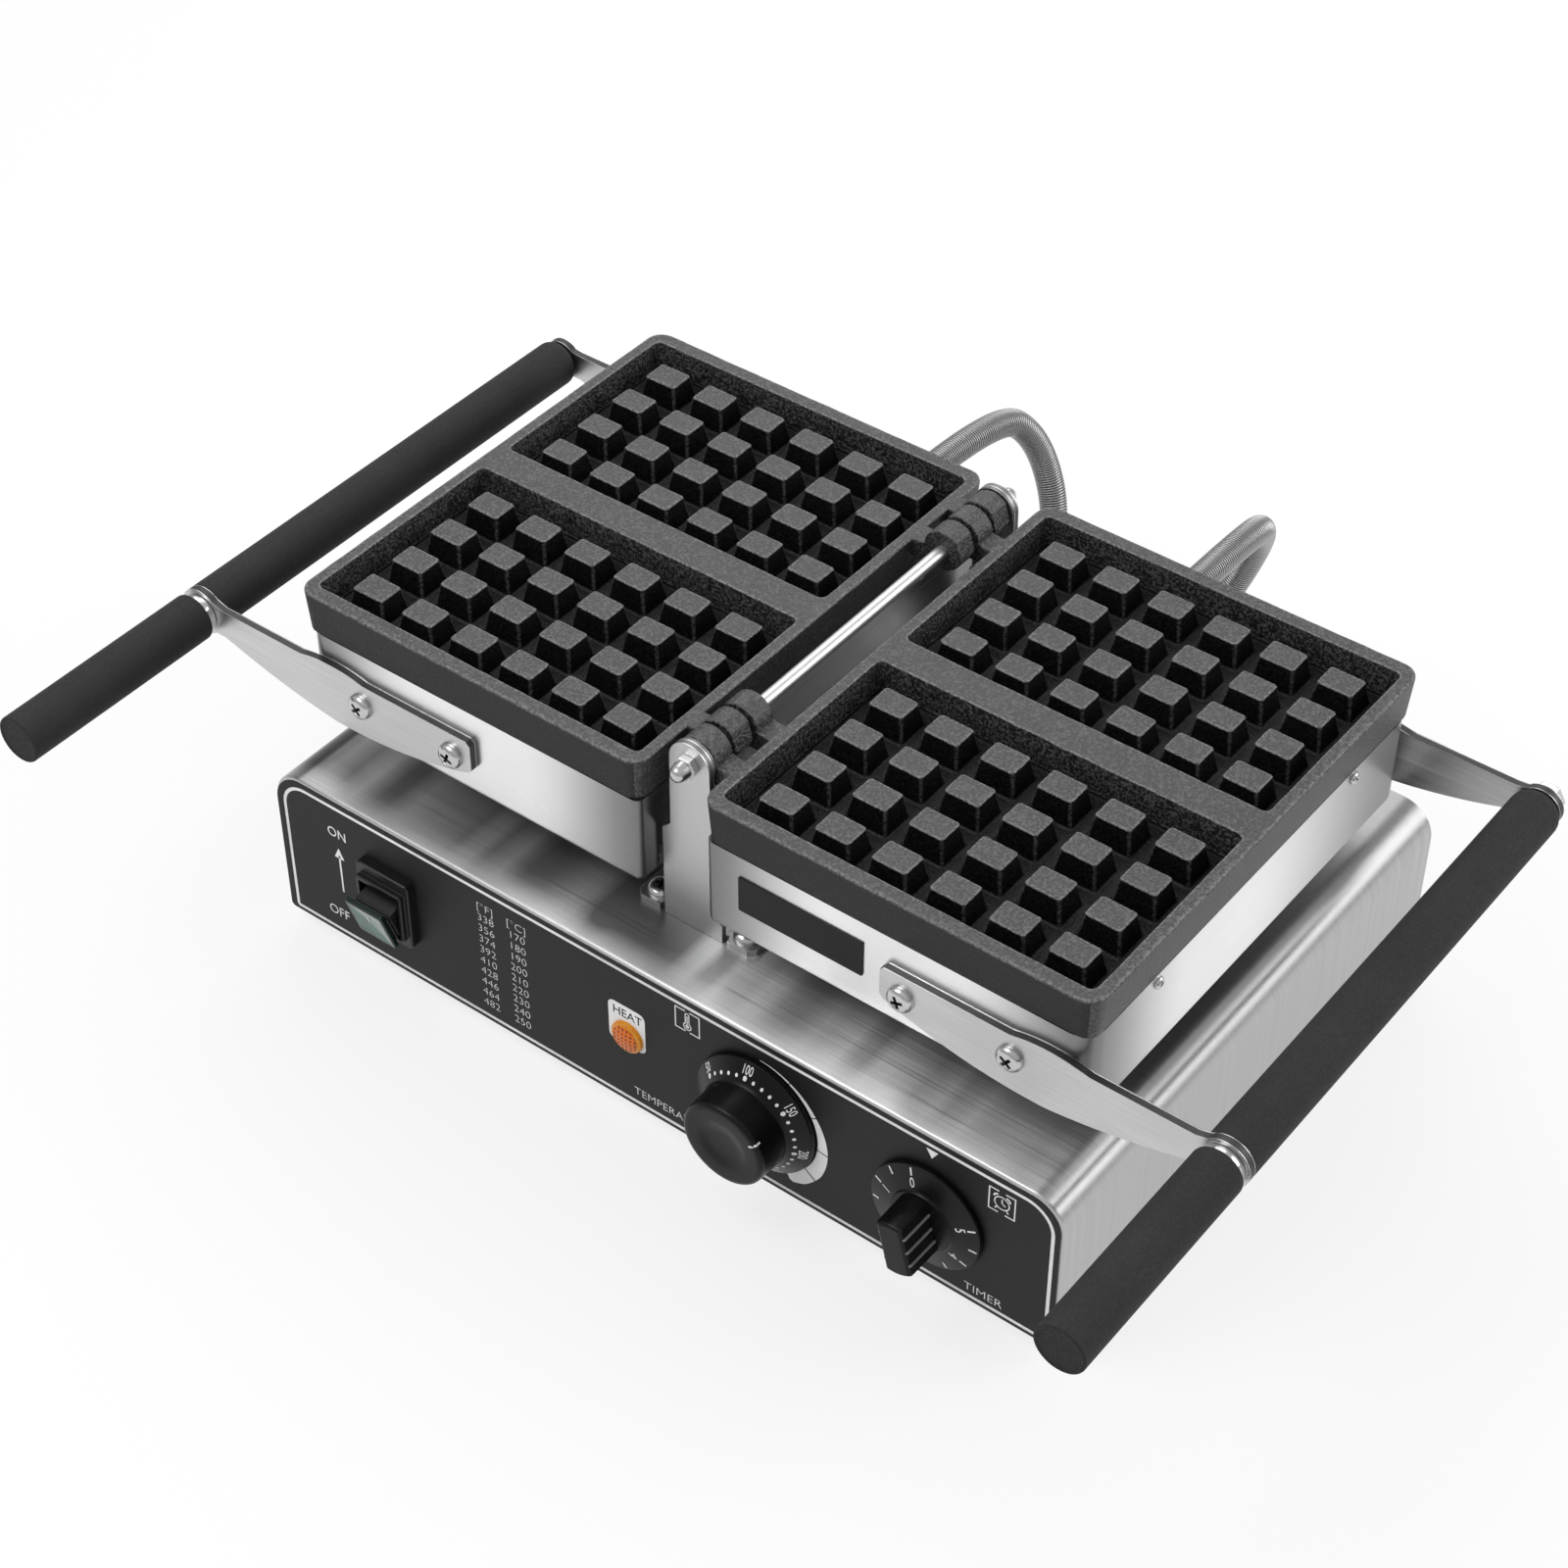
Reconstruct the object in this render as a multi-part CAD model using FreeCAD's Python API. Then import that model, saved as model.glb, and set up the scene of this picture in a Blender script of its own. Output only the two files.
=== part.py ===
"""Flat-opening double waffle maker: two hinged grid plates over a control base.

Millimetres. X runs from the left plate to the right one, Y from the front to
the back and Z up. The origin lies on the table, under the middle of the whole
machine's box.
"""
import FreeCAD
import Part
import math
import os

# Grid plates
PLATE_FRONT = -125.15
PLATE_WIDTH = 183.4
PLATE_LENGTH = 238.2
HINGE_TO_PLATE = 15.2
RIM_GAP = 0.8
CAST_HEIGHT = 21.1
CAST_DRAFT = 1.6
CAST_CORNER = 8.0
RIM_SIDE = 5.7
RIM_END = 7.2
PAN_DIVIDER = 17.0
PAN_DEPTH = 14.6
PAN_DRAFT = 1.0
PAN_CORNER = 3.0
CUBE_COLUMNS = 6
CUBE_ROWS = 4
CUBE_MARGIN_X = 18.5
CUBE_MARGIN_Y = 15.9
CUBE_TOP_X = 16.3
CUBE_TOP_Y = 12.5
CUBE_HEIGHT = 12.0
CUBE_DRAFT = 2.0

# Plate housings and what they hold
HOUSING_HEIGHT = 44.0
HOUSING_SHEET = 1.2
HOUSING_CORNER = 10.0
HOUSING_HINGE_CORNER = 3.4
HOUSING_BEND = 3.0
SIDE_SCREW_INSET = 47.1
SIDE_SCREW_DROP = 4.2
SIDE_BOSS_LENGTH = 14.0
SIDE_BOSS_DEPTH = 9.0
HEATER_RADIUS = 3.5
HEATER_LEGS = 4
HEATER_SIDE_INSET = 31.7
HEATER_END_INSET = 29.1
CLAMP_SHEET = 2.0
CLAMP_OVERHANG = 10.0
CLAMP_END_INSET = 15.0
CLAMP_POST_RADIUS = 6.0
CLAMP_POST_INSET = 74.1
INSULATION_MARGIN = 13.0
INSULATION_GAP = 2.0
WIRING_BAY = 40.0

# Base casing
BASE_HEIGHT = 84.0
BASE_SIDE_MARGIN = 6.9
BASE_FRONT_MARGIN = 19.75
BASE_BACK_MARGIN = 22.05
PLATE_LIFT = 23.5
SHELL_SHEET = 1.5
SHELL_BEND = 16.0
LIP_WIDTH = 16.0
COVER_SHEET = 1.2
COVER_INSET = 1.0
PANEL_SHEET = 1.5
PANEL_GAP = 0.2
PANEL_FLANGE = 14.0
FILM_SHEET = 0.3
FILM_INSET = 0.2
FOOT_HEIGHT = 8.0
FOOT_RADIUS = 12.0
FOOT_TAPER = 1.5
FOOT_INSET = 34.0

# Hinge
ROD_RADIUS = 3.0
KNUCKLE_RADIUS = 9.5
KNUCKLE_LENGTH = 11.0
KNUCKLE_GAP = 2.0
EAR_SHEET = 3.0
EAR_RADIUS = 10.0
EAR_INSET = 13.25
EAR_SIDE_STEP = 2.0
EAR_STOP_GAP = 1.8
EAR_STEP_DROP = 39.0
EAR_FOOT_RISE = 10.0
BRACKET_WIDTH = 61.0
BRACKET_REACH = 24.0
BRACKET_CORNER = 3.0
BRACKET_NOTCH = 2.4
BRACKET_SCREW_SPACING = 45.0
BRACKET_SCREW_SETBACK = 7.5
WASHER_SHEET = 1.5
WASHER_RADIUS = 10.0
WASHER_GAP = 0.5

# Arms and handles
ARM_SHEET = 3.5
ARM_OVERLAP = 94.6
ARM_SCREW_INSET = 10.5
ARM_SCREW_PITCH = 50.5
ARM_SCREW_DROP = 24.5
ARM_TOP_DROP = 13.3
ARM_HUMP = 2.4
ARM_HUMP_HALF = 18.0
ARM_HUMP_INSET = 17.0
ARM_END_WIDTH = 16.7
ARM_END_CHAMFER = 2.0
ARM_BELLY = 28.2
ARM_BELLY_STEP = 38.0
ARM_BELLY_RISE_IN = 2.4
ARM_BELLY_RISE_OUT = 6.8
EYE_RADIUS = 11.0
REAR_EYE_RADIUS = 9.5
EYE_NECK = 1.2
HANDLE_REACH = 59.4
HANDLE_DROP = 19.5
HANDLE_ROD_RADIUS = 4.0
GRIP_RADIUS = 11.0
GRIP_EDGE = 1.0
GRIP_ROUND = 5.0
FRONT_GRIP_LENGTH = 102.35
FRONT_GRIP_CAP = 20.0
COLLAR_RADIUS = 9.0
COLLAR_LENGTH = 4.0
BADGE_INSET = 16.7
BADGE_GAP = 10.1
BADGE_HEIGHT = 17.8
BADGE_DROP = 10.0
BADGE_SHEET = 0.8

# Conduits
CONDUIT_RADIUS = 6.75
CONDUIT_BORE = 5.2
CONDUIT_RIB_DEPTH = 0.45
CONDUIT_RIBS = 190
CONDUIT_RUN = 46.5
CONDUIT_PLATE_X = 70.0
CONDUIT_BASE_X = 40.0
CONDUIT_PLATE_DROP = 21.5
CONDUIT_BASE_RISE = 45.0
GLAND_WALL = 3.6
GLAND_LENGTH = 9.0
GLAND_NECK_WALL = 2.0
GLAND_NECK = 6.0
LOCKNUT_SHEET = 3.0
MAINS_GLAND_INSET = 55.5
MAINS_GLAND_RISE = 24.0

# Controls on the front panel
ROCKER_WIDTH = 20.8
ROCKER_HEIGHT = 24.4
ROCKER_REACH = 14.5
ROCKER_CAP = 2.5
ROCKER_DISH = 1.0
ROCKER_STEM = 15.0
ROCKER_BACK = 4.0
ROCKER_TILT = 18.0
ROCKER_SWING_GAP = 0.6
ROCKER_SIDE_GAP = 0.3
ROCKER_PIN_RADIUS = 1.5
ROCKER_PIN_LENGTH = 1.8
SWITCH_INSET = 64.5
SWITCH_WIDTH = 30.0
SWITCH_HEIGHT = 37.0
SWITCH_WALL = 2.2
SWITCH_FLANGE = 4.7
SWITCH_COLLAR = 2.8
SWITCH_BARREL = 24.0
SWITCH_POCKET = 10.0
LAMP_GAP = 30.4
LAMP_RADIUS = 8.0
LAMP_RISE = 3.6
LAMP_BODY_RADIUS = 5.0
LAMP_BODY_LENGTH = 26.0
KNOB_STANDOFF = 0.8
KNOB_RIM = 2.0
KNOB_WALL = 2.2
KNOB_SPACING_GAP = 29.1
TEMPERATURE_SKIRT = 29.4
TEMPERATURE_GRIP = 20.6
TEMPERATURE_SHOULDER = 8.0
TEMPERATURE_HEIGHT = 24.0
TEMPERATURE_DISH = 11.0
TEMPERATURE_DISH_DEPTH = 1.4
TEMPERATURE_EDGE = 2.2
TIMER_INSET = 61.8
TIMER_DROP = 2.0
TIMER_SKIRT = 26.2
TIMER_SHOULDER = 7.4
TIMER_HEIGHT = 24.5
TIMER_WING_WIDTH = 12.0
TIMER_WING_LENGTH = 27.0
TIMER_WING_TAPER = 0.5
TIMER_REST_ANGLE = 13.4
SHAFT_RADIUS = 3.0
HUB_WALL = 2.5
BUSHING_WALL = 2.0
BUSHING_OUT = 5.2
BUSHING_GAP = 0.8
THERMOSTAT_WIDTH = 44.0
THERMOSTAT_HEIGHT = 35.0
THERMOSTAT_DEPTH = 30.0
TIMER_BODY_RADIUS = 23.0
TIMER_BODY_DEPTH = 34.0
TERMINAL_WIDTH = 62.0
TERMINAL_LENGTH = 26.0
TERMINAL_HEIGHT = 20.0
TERMINAL_SETBACK = 46.5
TERMINAL_POLES = 5
TERMINAL_WELL = 3.0

# Fasteners
M4_RADIUS = 2.0
M4_HEAD_RADIUS = 3.6
M4_HEAD_HEIGHT = 2.2
M4_LENGTH = 8.0
M6_RADIUS = 3.0
M6_HEAD_RADIUS = 6.0
M6_HEAD_HEIGHT = 3.6
M6_NUT_RADIUS = 5.6
M6_NUT_HEIGHT = 4.8
M6_SPARE = 1.5
M8_NUT_RADIUS = 7.3
M8_NUT_HEIGHT = 6.0
HEAD_ROUND_SHARE = 0.6

# Clearances: turning fits, fixed fits and screw holes
RUN_CLEARANCE = 0.05
FIT_CLEARANCE = 0.1
HOLE_CLEARANCE = 0.2

# Plan of the plates, the housings and the base
plate_inner = HINGE_TO_PLATE
plate_outer = plate_inner + PLATE_WIDTH
plate_mid_x = (plate_inner + plate_outer) / 2
plate_back = PLATE_FRONT + PLATE_LENGTH
plate_mid_y = (PLATE_FRONT + plate_back) / 2
housing_inner = plate_inner + CAST_DRAFT
housing_outer = plate_outer - CAST_DRAFT
housing_front = PLATE_FRONT + CAST_DRAFT
housing_back = plate_back - CAST_DRAFT
base_front = PLATE_FRONT - BASE_FRONT_MARGIN
base_back = plate_back + BASE_BACK_MARGIN
half_base = plate_outer + BASE_SIDE_MARGIN
panel_face = base_front + FILM_SHEET
panel_rear = panel_face + PANEL_SHEET

# Heights, from the table up
base_bottom = FOOT_HEIGHT
base_top = base_bottom + BASE_HEIGHT
shell_bottom = base_bottom + COVER_SHEET
lip_top = shell_bottom + SHELL_SHEET
housing_bottom = base_top + PLATE_LIFT
cast_bottom = housing_bottom + HOUSING_HEIGHT
rim_top = cast_bottom + CAST_HEIGHT
pan_floor = rim_top - PAN_DEPTH
hinge_z = rim_top + RIM_GAP / 2
heater_z = cast_bottom - HEATER_RADIUS
clamp_top = heater_z - HEATER_RADIUS
handle_z = cast_bottom - HANDLE_DROP
control_z = base_bottom + BASE_HEIGHT / 2
timer_z = control_z - TIMER_DROP

# Places along the hinge, the arms and the front panel
ear_front = PLATE_FRONT + EAR_INSET
ear_back = plate_back - EAR_INSET
handle_x = plate_outer + HANDLE_REACH
arm_start = plate_outer - ARM_OVERLAP
arm_front = housing_front - ARM_SHEET
arm_back = housing_back + ARM_SHEET
timer_x = half_base - TIMER_INSET
temperature_x = timer_x - TIMER_SKIRT - KNOB_SPACING_GAP - TEMPERATURE_SKIRT
lamp_x = temperature_x - TEMPERATURE_SKIRT - LAMP_GAP - LAMP_RADIUS
switch_x = SWITCH_INSET - half_base
knob_lip = KNOB_STANDOFF + KNOB_RIM
hub_start = BUSHING_OUT + BUSHING_GAP
hub_radius = SHAFT_RADIUS + HUB_WALL
bushing_radius = SHAFT_RADIUS + BUSHING_WALL
gland_neck_radius = CONDUIT_BORE + GLAND_NECK_WALL
gland_cup_radius = CONDUIT_RADIUS + FIT_CLEARANCE + GLAND_WALL

X_AXIS = FreeCAD.Vector(1, 0, 0)
Y_AXIS = FreeCAD.Vector(0, 1, 0)
Z_AXIS = FreeCAD.Vector(0, 0, 1)
ORIGIN = FreeCAD.Vector(0, 0, 0)


def vec(x, y, z):
    return FreeCAD.Vector(x, y, z)


def box(x0, x1, y0, y1, z0, z1):
    return Part.makeBox(x1 - x0, y1 - y0, z1 - z0, vec(x0, y0, z0))


def rod(start, end, radius):
    """A round bar between two points."""
    way = end - start
    return Part.makeCylinder(radius, way.Length, start, way)


def ring(start, end, radius, bore):
    return rod(start, end, radius).cut(rod(start, end, bore))


def hex_nut(start, end, corner_radius, bore):
    """A hexagonal nut along the Y axis, with its bore."""
    corners = []
    for step in range(7):
        angle = math.radians(60 * step)
        corners.append(start + vec(math.cos(angle), 0, math.sin(angle)) * corner_radius)
    blank = Part.Face(Part.makePolygon(corners)).extrude(end - start)
    return blank.cut(rod(start, end, bore))


def group(shapes):
    return Part.makeCompound(shapes)


def holes(centres, way, radius):
    """Round cutters through each centre, reaching as far as way on both sides."""
    return group([rod(centre - way, centre + way, radius) for centre in centres])


def mirrored(shape):
    """The same shape on the other side of the hinge."""
    return shape.mirror(ORIGIN, X_AXIS)


def front_to_back(shape):
    """The same shape at the other end of the hinge."""
    return shape.mirror(vec(0, plate_mid_y, 0), Y_AXIS)


def turned(shape):
    """The same shape turned half round about the middle of the hinge."""
    copy = shape.copy()
    copy.rotate(vec(0, plate_mid_y, 0), Z_AXIS, 180)
    return copy


def upright_edges(shape):
    return [e for e in shape.Edges if abs(e.tangentAt(e.FirstParameter).z) > 0.9]


def round_outline(x0, x1, y0, y1, z, radius, hinge_radius):
    """A level rectangle with round corners; those at the low X end have their own radius."""
    block = box(x0, x1, y0, y1, z, z + 1)
    near = [e for e in upright_edges(block) if e.CenterOfMass.x < (x0 + x1) / 2]
    block = block.makeFillet(hinge_radius, near)
    far = [e for e in upright_edges(block) if e.CenterOfMass.x > x1 - 0.01]
    block = block.makeFillet(radius, far)
    lowest = min(block.Faces, key=lambda face: face.CenterOfMass.z)
    return lowest.OuterWire


def drafted_block(x0, x1, y0, y1, z0, z1, radius, draft):
    """A block with round corners whose sides lean in by draft at the bottom."""
    low = round_outline(x0 + draft, x1 - draft, y0 + draft, y1 - draft, z0, radius, radius)
    high = round_outline(x0, x1, y0, y1, z1, radius, radius)
    return Part.makeLoft([low, high], True, True)


def slab(points, y0, y1):
    """A plate with an outline in the X-Z plane. An item of two points is an arc to its second."""
    edges = []
    here = vec(points[0][0], y0, points[0][1])
    for item in list(points[1:]) + [points[0]]:
        if isinstance(item[0], tuple):
            middle = vec(item[0][0], y0, item[0][1])
            there = vec(item[1][0], y0, item[1][1])
            edges.append(Part.Arc(here, middle, there).toShape())
        else:
            there = vec(item[0], y0, item[1])
            edges.append(Part.makeLine(here, there))
        here = there
    return Part.Face(Part.Wire(edges)).extrude(vec(0, y1 - y0, 0))


def turned_on_front(profile, x, z):
    """A solid of revolution about a control's axis, from (radius, distance out) points."""
    corners = [vec(x + radius, base_front - out, z) for radius, out in profile]
    face = Part.Face(Part.makePolygon(corners + [corners[0]]))
    return face.revolve(vec(x, 0, z), Y_AXIS, 360)


def pan_head_screw(seat, out, radius, head_radius, head_height, length):
    """A pan-head screw: the head stands on its seat, the shank runs the other way."""
    shank = rod(seat - out * length, seat, radius)
    head = rod(seat, seat + out * head_height, head_radius)
    crown = [e for e in head.Edges if abs((e.CenterOfMass - seat).dot(out) - head_height) < 0.01]
    head = head.makeFillet(head_height * HEAD_ROUND_SHARE, crown)
    return shank.fuse(head).removeSplitter()


def m4_screw(seat, out):
    return pan_head_screw(seat, out, M4_RADIUS, M4_HEAD_RADIUS, M4_HEAD_HEIGHT, M4_LENGTH)


def m6_screw(seat, out, length):
    return pan_head_screw(seat, out, M6_RADIUS, M6_HEAD_RADIUS, M6_HEAD_HEIGHT, length)


# Base casing


def base_block(inset, bottom, y0, y1):
    """A length of the casing's section: square at the bottom, round at the two top corners."""
    half = half_base - inset
    top = base_top - inset
    bend = SHELL_BEND - inset
    rise = bend * math.sqrt(0.5)
    right = ((half - bend + rise, top - bend + rise), (half - bend, top))
    left = ((-half + bend - rise, top - bend + rise), (-half, top - bend))
    points = [(-half, bottom), (half, bottom), (half, top - bend), right, (-half + bend, top), left]
    return slab(points, y0, y1)


def bracket_screw_seats():
    """The four screw centres, on top of the hinge brackets' feet."""
    z = base_top + EAR_SHEET
    rows = (ear_front + BRACKET_SCREW_SETBACK, ear_back - BRACKET_SCREW_SETBACK)
    sides = (-BRACKET_SCREW_SPACING / 2, BRACKET_SCREW_SPACING / 2)
    return [vec(x, y, z) for y in rows for x in sides]


def bracket_screw_holes():
    way = Z_AXIS * (EAR_SHEET + 2 * SHELL_SHEET)
    return holes(bracket_screw_seats(), way, M6_RADIUS + HOLE_CLEARANCE)


def cover_screw_seats():
    """Screw centres under the casing's two lips, a quarter of the depth from each end."""
    x = half_base - LIP_WIDTH / 2
    quarter = (base_back - base_front) / 4
    rows = (base_front + quarter, base_back - quarter)
    return [vec(side * x, y, base_bottom) for side in (-1, 1) for y in rows]


def cover_screw_holes():
    return holes(cover_screw_seats(), Z_AXIS * M4_LENGTH, M4_RADIUS + HOLE_CLEARANCE)


def base_shell():
    outer = base_block(0, shell_bottom, base_front, base_back)
    inside = base_block(SHELL_SHEET, lip_top, base_front, base_back)
    mouth = half_base - LIP_WIDTH
    way_in = box(-mouth, mouth, base_front, base_back, shell_bottom, lip_top)
    return outer.cut(inside).cut(way_in).cut(bracket_screw_holes()).cut(cover_screw_holes())


def panel(y_outer, y_inner):
    """A front or back panel set flush in the casing, with a foot flange on the bottom cover."""
    plate = base_block(SHELL_SHEET + PANEL_GAP, lip_top, min(y_outer, y_inner), max(y_outer, y_inner))
    mouth = half_base - LIP_WIDTH - PANEL_GAP
    y_flange = y_inner + math.copysign(PANEL_FLANGE, y_inner - y_outer)
    foot = box(-mouth, mouth, min(y_outer, y_flange), max(y_outer, y_flange), shell_bottom, lip_top)
    return plate.fuse(foot).removeSplitter()


def control_cuts():
    """What the controls need cut out of the panel and its film."""
    barrel_x, barrel_z = switch_barrel()
    cuts = [switch_block(barrel_x + HOLE_CLEARANCE, barrel_z + HOLE_CLEARANCE, base_front, panel_rear)]
    rounds = ((lamp_x, control_z, LAMP_BODY_RADIUS), (temperature_x, control_z, bushing_radius),
              (timer_x, timer_z, bushing_radius))
    for x, z, radius in rounds:
        cuts.append(rod(vec(x, base_front, z), vec(x, panel_rear, z), radius + HOLE_CLEARANCE))
    return group(cuts)


def front_panel():
    return panel(panel_face, panel_rear).cut(control_cuts())


def control_film():
    inset = SHELL_SHEET + PANEL_GAP + FILM_INSET
    return base_block(inset, lip_top + FILM_INSET, base_front, panel_face).cut(control_cuts())


def conduit_gland_places():
    """Centres of the two conduit glands on the back panel."""
    conduit_z = base_bottom + CONDUIT_BASE_RISE
    return [vec(side * CONDUIT_BASE_X, base_back, conduit_z) for side in (-1, 1)]


def mains_gland_place():
    return vec(half_base - MAINS_GLAND_INSET, base_back, base_bottom + MAINS_GLAND_RISE)


def rear_panel():
    places = conduit_gland_places() + [mains_gland_place()]
    necks = holes(places, Y_AXIS * (2 * PANEL_SHEET), gland_neck_radius + HOLE_CLEARANCE)
    return panel(base_back, base_back - PANEL_SHEET).cut(necks)


def bottom_cover():
    edge = half_base - COVER_INSET
    plate = box(-edge, edge, base_front + COVER_INSET, base_back - COVER_INSET, base_bottom, shell_bottom)
    return plate.cut(cover_screw_holes())


def cover_screws():
    return group([m4_screw(seat, -Z_AXIS) for seat in cover_screw_seats()])


def rubber_feet():
    x = half_base - FOOT_INSET
    rows = (base_front + FOOT_INSET, base_back - FOOT_INSET)
    places = [vec(side * x, y, 0) for side in (-1, 1) for y in rows]
    low_radius = FOOT_RADIUS - FOOT_TAPER
    return group([Part.makeCone(low_radius, FOOT_RADIUS, FOOT_HEIGHT, place, Z_AXIS) for place in places])


def terminal_block():
    """The block on the bottom cover where the mains leads meet the controls' leads."""
    y1 = base_back - TERMINAL_SETBACK
    y0 = y1 - TERMINAL_LENGTH
    top = shell_bottom + TERMINAL_HEIGHT
    block = box(-TERMINAL_WIDTH / 2, TERMINAL_WIDTH / 2, y0, y1, shell_bottom, top)
    pitch = TERMINAL_WIDTH / TERMINAL_POLES
    xs = [(pole - (TERMINAL_POLES - 1) / 2) * pitch for pole in range(TERMINAL_POLES)]
    wells = [vec(x, (y0 + y1) / 2, top) for x in xs]
    return block.cut(holes(wells, Z_AXIS * (TERMINAL_HEIGHT / 2), TERMINAL_WELL))


# Hinge


def hinge_bracket():
    """The front bracket: a stepped ear at the front edge of a foot with relief notches."""
    y0 = ear_front
    y1 = ear_front + EAR_SHEET
    wide = housing_inner - EAR_STOP_GAP
    narrow = EAR_RADIUS + EAR_SIDE_STEP
    step = hinge_z - EAR_STEP_DROP
    foot_step = base_top + EAR_FOOT_RISE
    slope = EAR_SIDE_STEP
    crown = ((0, hinge_z + EAR_RADIUS), (-EAR_RADIUS, hinge_z))
    ear = slab([(wide, base_top), (wide, foot_step), (narrow, foot_step + slope), (narrow, step),
                (EAR_RADIUS, step + slope), (EAR_RADIUS, hinge_z), crown, (-EAR_RADIUS, step),
                (slope - wide, step), (-wide, step - slope), (-wide, base_top)], y0, y1)
    half = BRACKET_WIDTH / 2
    foot = box(-half, half, y0, y0 + BRACKET_REACH, base_top, base_top + EAR_SHEET)
    foot = foot.makeFillet(BRACKET_CORNER, upright_edges(foot))
    for x in (-wide - BRACKET_NOTCH, wide):
        foot = foot.cut(box(x, x + BRACKET_NOTCH, y0, y1, base_top, base_top + EAR_SHEET))
    bracket = ear.fuse(foot).removeSplitter()
    bracket = bracket.cut(rod(vec(0, y0, hinge_z), vec(0, y1, hinge_z), ROD_RADIUS + FIT_CLEARANCE))
    return bracket.cut(bracket_screw_holes())


def hinge_rod():
    front = vec(0, ear_front - M6_NUT_HEIGHT, hinge_z)
    back = vec(0, ear_back + M6_NUT_HEIGHT, hinge_z)
    return rod(front, back, ROD_RADIUS)


def acorn_nut():
    """A domed nut on the front end of the hinge rod."""
    seat = vec(0, ear_front, hinge_z)
    face = vec(0, ear_front - M6_NUT_HEIGHT, hinge_z)
    nut = hex_nut(face, seat, M6_NUT_RADIUS, ROD_RADIUS)
    flat = M6_NUT_RADIUS * math.cos(math.radians(30))
    front_half = box(-flat, flat, face.y - flat, face.y, hinge_z - flat, hinge_z + flat)
    dome = Part.makeSphere(flat, face).common(front_half)
    return nut.fuse(dome).removeSplitter()


def hinge_washer():
    start = vec(0, ear_front + EAR_SHEET, hinge_z)
    return ring(start, start + Y_AXIS * WASHER_SHEET, WASHER_RADIUS, ROD_RADIUS + FIT_CLEARANCE)


def bracket_screws():
    """Screws through the bracket feet and the casing's top, with their nuts inside."""
    pieces = []
    length = EAR_SHEET + SHELL_SHEET + M6_NUT_HEIGHT + M6_SPARE
    for seat in bracket_screw_seats():
        pieces.append(m6_screw(seat, Z_AXIS, length))
        top = seat - Z_AXIS * (EAR_SHEET + SHELL_SHEET)
        pieces.append(ring(top - Z_AXIS * M6_NUT_HEIGHT, top, M6_NUT_RADIUS, M6_RADIUS + FIT_CLEARANCE))
    return group(pieces)


# Grid plates, made on the right-hand side


def pan_spans():
    """Front and back ends of the two pans."""
    return [(PLATE_FRONT + RIM_END, plate_mid_y - PAN_DIVIDER / 2),
            (plate_mid_y + PAN_DIVIDER / 2, plate_back - RIM_END)]


def spread(low, high, margin, count):
    """Evenly spaced centres between two walls, the outer ones a margin away from them."""
    step = (high - low - 2 * margin) / (count - 1)
    return [low + margin + step * number for number in range(count)]


def cube(x, y):
    """One tapered cube of the grid."""
    wires = []
    for z, grow in ((pan_floor, CUBE_DRAFT), (pan_floor + CUBE_HEIGHT, 0.0)):
        dx = CUBE_TOP_X / 2 + grow
        dy = CUBE_TOP_Y / 2 + grow
        signs = ((-1, -1), (1, -1), (1, 1), (-1, 1), (-1, -1))
        wires.append(Part.makePolygon([vec(x + sx * dx, y + sy * dy, z) for sx, sy in signs]))
    return Part.makeLoft(wires, True, True)


def grid_cubes():
    """The tapered cubes, each standing on its pan's floor as a solid of its own."""
    cubes = []
    columns = spread(plate_inner + RIM_SIDE, plate_outer - RIM_SIDE, CUBE_MARGIN_X, CUBE_COLUMNS)
    for front, back in pan_spans():
        for y in spread(front, back, CUBE_MARGIN_Y, CUBE_ROWS):
            cubes = cubes + [cube(x, y) for x in columns]
    return group(cubes)


def side_screw_seats():
    """Screw centres on the housing's two long sides, each with its outward direction."""
    seats = []
    for x, out in ((housing_inner, -X_AXIS), (housing_outer, X_AXIS)):
        for y in (PLATE_FRONT + SIDE_SCREW_INSET, plate_back - SIDE_SCREW_INSET):
            seats.append((vec(x, y, cast_bottom - SIDE_SCREW_DROP), out))
    return seats


def side_bosses():
    """Cast bosses inside the housing walls that take the side screws."""
    bosses = []
    half = SIDE_BOSS_LENGTH / 2
    for seat, out in side_screw_seats():
        wall = seat - out * (HOUSING_SHEET + FIT_CLEARANCE)
        far = wall - out * SIDE_BOSS_DEPTH
        boss = box(min(wall.x, far.x), max(wall.x, far.x), seat.y - half, seat.y + half,
                   seat.z - SIDE_SCREW_DROP, cast_bottom)
        bosses.append(boss.cut(rod(far, wall, M4_RADIUS + FIT_CLEARANCE)))
    return bosses


def clamp_post_ends():
    ends = (PLATE_FRONT + CLAMP_POST_INSET, plate_back - CLAMP_POST_INSET)
    return [vec(plate_mid_x, y, clamp_top) for y in ends]


def clamp_posts():
    """Posts on the casting's underside that the heater's clamp plate is screwed to."""
    posts = []
    for end in clamp_post_ends():
        root = vec(end.x, end.y, cast_bottom)
        posts.append(ring(end, root, CLAMP_POST_RADIUS, M4_RADIUS + FIT_CLEARANCE))
    return posts


def grid_plate():
    blank = drafted_block(plate_inner, plate_outer, PLATE_FRONT, plate_back, cast_bottom, rim_top,
                          CAST_CORNER, CAST_DRAFT)
    for front, back in pan_spans():
        blank = blank.cut(drafted_block(plate_inner + RIM_SIDE, plate_outer - RIM_SIDE, front, back,
                                        pan_floor, rim_top, PAN_CORNER, PAN_DRAFT))
    return blank.multiFuse(side_bosses() + clamp_posts()).removeSplitter()


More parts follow.
